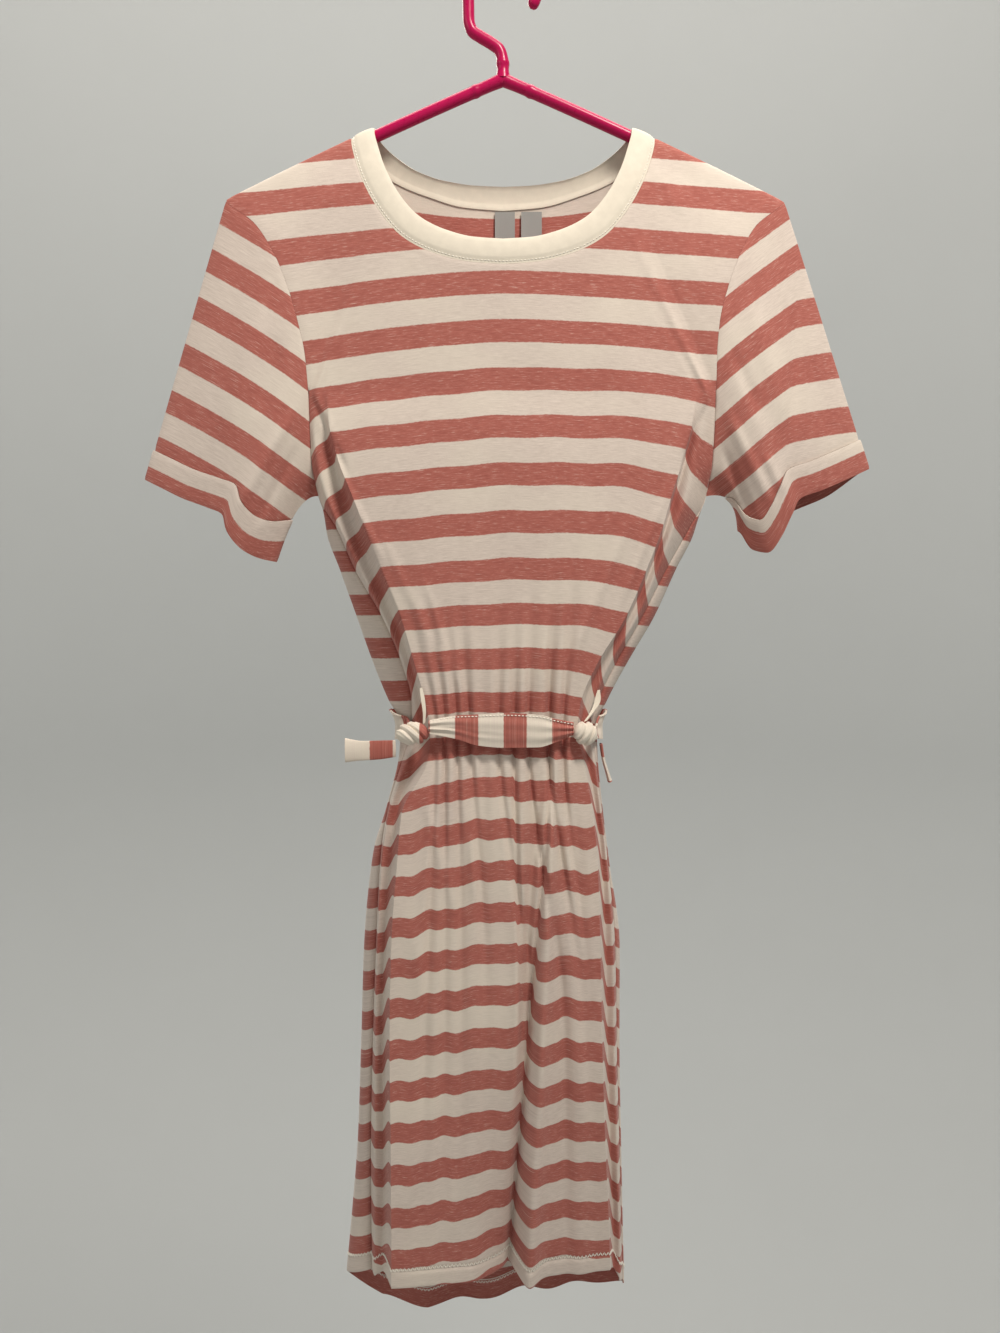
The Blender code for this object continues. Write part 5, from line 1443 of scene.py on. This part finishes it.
def flat_tube(name, route, widths, depth, flare, material, course_of, tilt):
    """A flattened tube of cloth along a route: ellipses that open towards its hollow end.

    tilt is the direction of the tube's width. The hollow repeats the last rings, smaller, inwards.
    """
    stations, sides = TUBE_CELLS
    fractions = np.linspace(0.0, 1.0, stations + 1)
    middle = along(route, fractions)
    width = pchip(np.linspace(0.0, 1.0, len(widths)), widths, fractions) / 2
    thick = depth / 2 + flare * fractions ** 4
    tilt = np.asarray(tilt, dtype=float)
    heading = np.gradient(middle, axis=0)
    heading /= np.linalg.norm(heading, axis=1)[:, None]
    out = np.cross(heading, tilt)
    out /= np.linalg.norm(out, axis=1)[:, None]
    angle = np.linspace(0.0, 2 * math.pi, sides, endpoint=False)
    edge = np.cos(angle)[None, :, None] * width[:, None, None] * tilt
    face = np.sin(angle)[None, :, None] * thick[:, None, None] * out[:, None]
    crease = 1 + 0.06 * np.cos(3 * angle + 0.7)[None, :, None]
    outer = middle[:, None] + edge * crease + face
    hollow = (middle[:, None] + (edge * crease + face) * TUBE_HOLLOW)[::-HOLLOW_STEP][:HOLLOW_RINGS]
    rings = np.concatenate([outer, hollow])
    points, faces = capped_rings(rings, rings[[0, -1]].mean(axis=1))
    volume = np.einsum("ij,ij->i", points[faces[:, 0]], np.cross(points[faces[:, 1]], points[faces[:, 2]]))
    if volume.sum() < 0:
        faces = faces[:, ::-1]
    return mesh_piece(name, points, faces, material, course_of(points))


def knot_mesh(name, knot, material):
    """A knot: a squashed ball with two deep slanting creases between its three wraps of cloth."""
    around, down = KNOT_CELLS
    turn = np.linspace(0.0, 2 * math.pi, around, endpoint=False)[None]
    polar = np.linspace(0.0, math.pi, down + 1)[1:-1, None]
    x = np.cos(polar) * np.ones_like(turn)
    y = np.sin(polar) * np.cos(turn)
    z = np.sin(polar) * np.sin(turn)
    slant = 0.8 * x + knot.lean * z + 0.16 * np.sin(2.4 * y + 1.0)
    creases = sum(row.depth * bell(slant - row.place, row.width) for row in KNOT_CREASES)
    wrinkles = sum(row.height * np.cos(row.beat * slant + row.lean * z) for row in KNOT_WRINKLES)
    swell = KNOT_SWELL - creases + wrinkles * np.sin(polar)
    rings = np.stack([x, y, z], axis=-1) * swell[..., None]
    poles = np.array([(KNOT_POLE, 0.0, 0.0), (-KNOT_POLE, 0.0, 0.0)])
    half = (knot.half_width, knot.half_depth, knot.half_height)
    centre = (knot.x, knot.y, knot.z)
    points, faces = capped_rings(rings * half + centre, poles * half + centre)
    pink = np.clip((points[:, 0] - knot.pink_x) / KNOT_PINK_EDGE, 0.0, 1.0)
    return mesh_piece(name, points, faces, material, (1 - pink) * STRIPE_STEP / 2)


def ribbon_grid(route, widths, tilt):
    """A flat strip along a route; tilt is the direction of its width."""
    fractions = np.linspace(0.0, 1.0, CARRIER_CELLS[0] + 1)
    middle = along(route, fractions)
    width = pchip(np.linspace(0.0, 1.0, len(widths)), widths, fractions)
    tilt = np.asarray(tilt) / np.linalg.norm(tilt)
    across = np.linspace(-0.5, 0.5, CARRIER_CELLS[1] + 1)
    return middle[None] + across[:, None, None] * width[None, :, None] * tilt


class DRESS_OT_belt(bpy.types.Operator):
    """Build the tie belt with its knots, ends and carriers"""

    bl_idname = "mini_dress.belt"
    bl_label = "Belt"

    def execute(self, context):
        wall = context.scene.mini_dress_sizes.band_wall / MM
        # The belt's jersey carries painted light: its cream is drawn lighter than the dress's
        jersey = material_of("belt")
        cream = material_of("cream")
        scale = STRIPE_STEP / BELT_STEP
        grid = belt_front_grid()
        front = loose_piece("belt_front_cloth", grid, (grid[..., 0] - BELT_PINK_X) * scale, wall, jersey)
        grid = belt_back_grid()
        run = lengths(grid[BELT_ROWS // 2])
        bands = round(run[-1] * scale / STRIPE_STEP)
        course = (run / run[-1] * bands + 0.5) * STRIPE_STEP
        back = loose_piece("belt_back_cloth", grid, np.repeat(course[None], BELT_ROWS + 1, axis=0),
                           wall, jersey)
        tail = flat_tube("belt_tail_cloth", TAIL_ROUTE, TAIL_WIDTHS, TAIL_DEPTH, TAIL_FLARE, jersey,
                         lambda points: (points[:, 0] - TAIL_PINK_X) * scale, (0.0, 0.0, 1.0))
        end = flat_tube("belt_end_cloth", END_ROUTE, END_WIDTHS, END_DEPTH, END_FLARE, jersey,
                        lambda points: (points[:, 2] - END_PINK_Z) * scale, (0.0, 1.0, 0.0))
        knots = {side: knot_mesh("belt_knot_" + side + "_cloth", knot, jersey)
                 for side, knot in KNOTS.items()}
        for side, knot in knots.items():
            show(knot, "belt_knot_" + side)
        for piece, node in ((front, "belt_front"), (back, "belt_back"), (tail, "belt_tail"),
                            (end, "belt_end")):
            show(piece, node)
        for side, route in CARRIER_ROUTES.items():
            grid = ribbon_grid(route, CARRIER_WIDTHS[side], CARRIER_TILT)
            loop = loose_piece("carrier_" + side, grid, 0.0, CARRIER_WALL, cream)
            show(loop, "belt_loop_" + side)
        return {"FINISHED"}


class DRESS_OT_labels(bpy.types.Operator):
    """Build the two bare labels inside the back of the neck"""

    bl_idname = "mini_dress.labels"
    bl_label = "Labels"

    def execute(self, context):
        for node in ("label_main", "label_size"):
            low, high = (np.array(corner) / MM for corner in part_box(node))
            across = np.linspace(low[0], high[0], LABEL_CELLS[0] + 1)[None]
            down = np.linspace(0.0, 1.0, LABEL_CELLS[1] + 1)[:, None]
            aside = (across - (low[0] + high[0]) / 2) / LABEL_HALF_WIDTH
            curl = LABEL_CURL * down ** 2 + LABEL_SIDE_CURL * aside ** 2 * down
            y = low[1] - LABEL_OUT - curl
            z = high[2] - down * (high[2] - low[2])
            grid = np.stack(np.broadcast_arrays(across, y, z), axis=-1)[::-1]
            piece = loose_piece(node + "_cloth", grid, 0.0, LABEL_WALL, material_of("label"))
            show(piece, node)
        return {"FINISHED"}


def dashes(name, starts, ends, normals, radius, material):
    """Stitches as slim six-cornered spindles from each start to its end, lying on the cloth."""
    run = ends - starts
    run /= np.linalg.norm(run, axis=1)[:, None]
    side = np.cross(run, normals)
    side /= np.linalg.norm(side, axis=1)[:, None]
    middle = (starts + ends) / 2 + normals * radius * STITCH_LIFT
    corners = [starts, middle + normals * radius, middle + side * radius, middle - normals * radius,
               middle - side * radius, ends]
    points = np.stack(corners, axis=1).reshape(-1, 3)
    pattern = np.array([(5, 1, 2), (5, 2, 3), (5, 3, 4), (5, 4, 1), (0, 2, 1), (0, 3, 2), (0, 4, 3),
                        (0, 1, 4)])
    faces = (np.arange(len(starts))[:, None, None] * 6 + pattern).reshape(-1, 3)
    return mesh_piece(name, points, faces, material)


def spaced(line, normals, step):
    """Points and normals at equal steps along a line on the cloth."""
    length = lengths(line)
    where = np.linspace(0.0, length[-1], max(2, int(length[-1] / step)) + 1)
    points = np.stack([np.interp(where, length, line[:, axis]) for axis in range(3)], axis=-1)
    turned = np.stack([np.interp(where, length, normals[:, axis]) for axis in range(3)], axis=-1)
    return points, turned / np.linalg.norm(turned, axis=1)[:, None]


def row_dashes(line, normals, step):
    """Starts, ends and normals of straight stitches along a line."""
    points, turned = spaced(line, normals, step)
    run = points[1:] - points[:-1]
    return points[:-1] + run * STITCH_ENDS[0], points[1:] - run * STITCH_ENDS[1], turned[:-1]


def zigzag_dashes(upper, lower, normals):
    """Starts, ends and normals of a zigzag between two lines."""
    high, turned = spaced(upper, normals, ZIGZAG_STEP)
    low = spaced(lower, normals, ZIGZAG_STEP)[0]
    count = min(len(high), len(low))
    peaks = np.where((np.arange(count) % 2 == 0)[:, None], high[:count], low[:count])
    return peaks[:-1], peaks[1:], turned[:count - 1]


def seam_line(name, rows):
    """The closed line one row in from a piece's seam, with the normals there."""
    sheet, normals = sewn_cloth()[name]
    line = sheet.points.reshape(rows + 1, -1, 3)[1]
    turned = normals.reshape(rows + 1, -1, 3)[1]
    return np.concatenate([line, line[:1]]), np.concatenate([turned, turned[:1]])


def hem_lines(name, columns, height, facing_out):
    """A line above a panel's hem, on its outer or inner side, with the normals there."""
    sheet, normals = sewn_cloth()[name]
    rows = HEM_ROWS * HEM_SPLIT + 1
    points = sheet.points[:rows * columns].reshape(rows, columns, 3)
    turned = normals[:rows * columns].reshape(rows, columns, 3)
    share = height / (points[1, :, 2] - points[0, :, 2])
    low = np.floor(share).astype(int)
    part = (share - low)[:, None]
    column = np.arange(columns)
    line = points[low, column] * (1 - part) + points[low + 1, column] * part
    normal = turned[low, column]
    if not facing_out:
        line = line - sheet.wall * normal
        normal = -normal
    return line, normal


class DRESS_OT_stitching(bpy.types.Operator):
    """Build the topstitching of the neckband, hem, cuffs and belt"""

    bl_idname = "mini_dress.stitching"
    bl_label = "Stitching"

    def execute(self, context):
        sizes = context.scene.mini_dress_sizes
        step = sizes.stitch_step / MM
        radius = sizes.thread / MM
        thread = material_of("thread")
        columns = {"front": (2 * SIDE_CELLS + FACE_CELLS) * CELL_SPLIT + 1,
                   "back": (2 * BACK_EDGE_CELLS + BACK_FACE_CELLS) * CELL_SPLIT + 1}
        height = sizes.hem_height / MM
        groups = {}
        for name, count in columns.items():
            for side, outwards in (("outer", True), ("inner", False)):
                upper, normal = hem_lines(name, count, height + ZIGZAG_HALF, outwards)
                lower = hem_lines(name, count, height - ZIGZAG_HALF, outwards)[0]
                groups[f"hem_stitches_{name}_{side}"] = zigzag_dashes(upper, lower, normal)
        groups["neck_stitches"] = row_dashes(*seam_line("neckband", BAND_ROWS), step)
        for side in SIDES:
            groups["cuff_stitches_" + side] = row_dashes(*seam_line("cuff_" + side, CUFF_ROWS), step)
        line = belt_front_grid()[-2] + (0.0, -BELT_STITCH_OUT, 0.0)
        groups["belt_stitches"] = row_dashes(line, np.tile((0.0, -1.0, 0.0), (len(line), 1)), step)
        for name, (starts, ends, turned) in groups.items():
            piece = dashes(name, starts, ends, turned, radius, thread)
            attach(piece, "root")
        return {"FINISHED"}


def round_tube(route, radius, closed=False):
    """Points and faces of a round tube in the upright plane: a circle at each point of its route."""
    route = np.asarray(route, dtype=float)
    if closed:
        ahead = np.roll(route, -1, axis=0) - np.roll(route, 1, axis=0)
    else:
        ahead = np.gradient(route, axis=0)
    ahead /= np.linalg.norm(ahead, axis=1)[:, None]
    aside = np.stack([ahead[:, 1], -ahead[:, 0]], axis=-1)
    angle = np.linspace(0.0, 2 * math.pi, HANGER_SIDES, endpoint=False)
    radius = np.broadcast_to(radius, len(route))[:, None]
    in_plane = np.cos(angle)[None] * radius
    x = route[:, :1] + aside[:, :1] * in_plane
    z = route[:, 1:] + aside[:, 1:] * in_plane
    y = np.sin(angle)[None] * radius * np.ones_like(x)
    rings = np.stack([x, y, z], axis=-1)
    if not closed:
        return capped_rings(rings, route[[0, -1]][:, [0, 0, 1]] * (1, 0, 1))
    points = rings.reshape(-1, 3)
    number = np.arange(len(points)).reshape(-1, HANGER_SIDES)
    return points, ring_faces(points, np.pad(number, ((0, 1), (0, 1)), mode="wrap"))


def hook_route(tube):
    """The hook from its tip over the top, down the stem and through its bend to the junction."""
    centre_z = tube - HOOK_RADIUS
    angles = np.radians(np.linspace(HOOK_TIP_ANGLE, 180.0, HOOK_CELLS))
    arc = np.stack([HOOK_RADIUS * np.cos(angles), centre_z + HOOK_RADIUS * np.sin(angles)], axis=-1)
    return np.concatenate([arc, along(STEM_ROUTE, np.linspace(0.0, 1.0, STEM_CELLS))])


def frame_route():
    """The hanger's closed triangle: arms, end bends on a part of a circle, and the lower bar."""
    x = np.linspace(0.0, ARM_END_X, ARM_CELLS)[1:]
    arm = np.stack([x, arm_z(x)], axis=-1)
    start = -math.atan(ARM_SLOPE + 2 * ARM_DROOP * ARM_END_X)
    centre_x = ARM_END_X + END_BEND_RADIUS * math.sin(start)
    centre_z = arm_z(ARM_END_X) - END_BEND_RADIUS * math.cos(start)
    angle = np.linspace(start, -math.pi, BEND_CELLS)[1:]
    bend = np.stack([centre_x - END_BEND_RADIUS * np.sin(angle),
                     centre_z + END_BEND_RADIUS * np.cos(angle)], axis=-1)
    bar_x = np.linspace(bend[-1, 0], 0.0, BAR_CELLS)[1:]
    bar = np.stack([bar_x, np.full_like(bar_x, bend[-1, 1])], axis=-1)
    half = np.concatenate([arm, bend, bar])
    mirrored = half[-2::-1] * (-1, 1)
    return np.concatenate([[(0.0, arm_z(0.0))], half, mirrored])


def ring_height(places, ring):
    """How far a raised ring stands out at each place: a bell round the ring's own place."""
    return ring.height * bell(places - ring.place, ring.width)


class DRESS_OT_hanger(bpy.types.Operator):
    """Build the hanger's hook, stem and triangle"""

    bl_idname = "mini_dress.hanger"
    bl_label = "Hanger"

    def execute(self, context):
        tube = context.scene.mini_dress_sizes.tube / MM
        route = frame_route()
        arms = route[:, 1] > ARM_RINGS_ABOVE
        swell = ring_height(np.abs(route[:, 0]), ARM_RING) + ring_height(route[:, 0], MIDDLE_RING)
        points, faces = round_tube(route, tube + arms * swell, closed=True)
        hook = hook_route(tube)
        length = lengths(hook)
        from_end = length[-1] - length
        radius = tube + ring_height(from_end, STEM_RING) + ring_height(from_end, STEM_FOOT)
        tip = np.clip(length / tube, 0.0, 1.0)
        radius *= np.sqrt(np.clip(1 - (1 - tip) ** 2, BLUNTEST_TIP, 1.0))
        hook_points, hook_faces = round_tube(hook, radius)
        faces = np.concatenate([faces, hook_faces + len(points)])
        points = np.concatenate([points, hook_points])
        piece = mesh_piece("hanger_tube", points, faces, material_of("hanger"))
        show(piece, "hanger")
        return {"FINISHED"}


class DRESS_OT_stage(bpy.types.Operator):
    """Build the round studio, lights and camera"""

    bl_idname = "mini_dress.stage"
    bl_label = "Stage"

    def execute(self, context):
        radius = context.scene.mini_dress_sizes.cove_radius / MM
        turn = np.linspace(0.0, math.pi / 2, COVE_BEND_CELLS + 1)
        line_r = np.concatenate([[1.0], radius - COVE_BEND * (1 - np.sin(turn)), [radius]])
        line_z = np.concatenate([[COVE_FLOOR], COVE_FLOOR + COVE_BEND * (1 - np.cos(turn)), [COVE_TOP]])
        around = np.linspace(0.0, 2 * math.pi, COVE_SIDES, endpoint=False)[None]
        grid = np.stack([np.cos(around) * line_r[:, None], np.sin(around) * line_r[:, None],
                         np.repeat(line_z[:, None], COVE_SIDES, axis=1)], axis=-1)
        sheet = Sheet("backdrop", 1.0)
        sheet.add_grid(grid[:, ::-1], closed=True)
        backdrop = mesh_piece("backdrop", sheet.points, halved(sheet.points, sheet.faces),
                              material_of("backdrop"))

        for name, place, turned, size, power in LIGHTS:
            data = bpy.data.lights.new(name, "AREA")
            data.size = size
            data.energy = power
            data.color = LIGHT_TINT
            light = bpy.data.objects.new(name, data)
            light.location = place
            light.rotation_euler = [math.radians(angle) for angle in turned]
            context.scene.collection.objects.link(light)

        world = bpy.data.worlds.new("studio")
        world.use_nodes = True
        background = world.node_tree.nodes["Background"]
        background.inputs["Color"].default_value = WORLD_COLOUR
        background.inputs["Strength"].default_value = WORLD_STRENGTH
        context.scene.world = world
        context.scene.view_settings.view_transform = "Standard"

        data = bpy.data.cameras.new("camera")
        data.lens = CAMERA_LENS
        data.sensor_width = CAMERA_SENSOR
        camera = bpy.data.objects.new("camera", data)
        camera.location = CAMERA_PLACE
        camera.rotation_euler = (math.radians(90.0 - CAMERA_PITCH), 0.0, 0.0)
        context.scene.collection.objects.link(camera)
        context.scene.camera = camera
        return {"FINISHED"}


class DRESS_PT_panel(bpy.types.Panel):
    """The dress's steps in the 3D view's sidebar"""

    bl_idname = "DRESS_PT_panel"
    bl_label = "Striped mini dress"
    bl_space_type = "VIEW_3D"
    bl_region_type = "UI"
    bl_category = "Dress"

    def draw(self, context):
        layout = self.layout
        for step in STEPS:
            layout.operator(step.bl_idname)
        for group in (context.scene.mini_dress_sizes, context.scene.mini_dress_colours):
            for name in group.bl_rna.properties.keys():
                if name not in ("rna_type", "name"):
                    layout.prop(group, name)


STEPS = (DRESS_OT_sewn_cloth, DRESS_OT_belt, DRESS_OT_labels, DRESS_OT_stitching, DRESS_OT_hanger,
         DRESS_OT_stage)
CLASSES = (MiniDressSizes, MiniDressColours, *STEPS, DRESS_PT_panel)


def register():
    """Register the classes and hang the settings on the scene."""
    for item in CLASSES:
        bpy.utils.register_class(item)
    bpy.types.Scene.mini_dress_sizes = bpy.props.PointerProperty(type=MiniDressSizes)
    bpy.types.Scene.mini_dress_colours = bpy.props.PointerProperty(type=MiniDressColours)


def unregister():
    """Undo register."""
    del bpy.types.Scene.mini_dress_colours
    del bpy.types.Scene.mini_dress_sizes
    for item in reversed(CLASSES):
        bpy.utils.unregister_class(item)


def main():
    register()
    for step in STEPS:
        group, name = step.bl_idname.split(".")
        result = getattr(getattr(bpy.ops, group), name)()
        if result != {"FINISHED"}:
            raise RuntimeError(step.bl_idname + " did not finish")


if __name__ == "__main__":
    main()
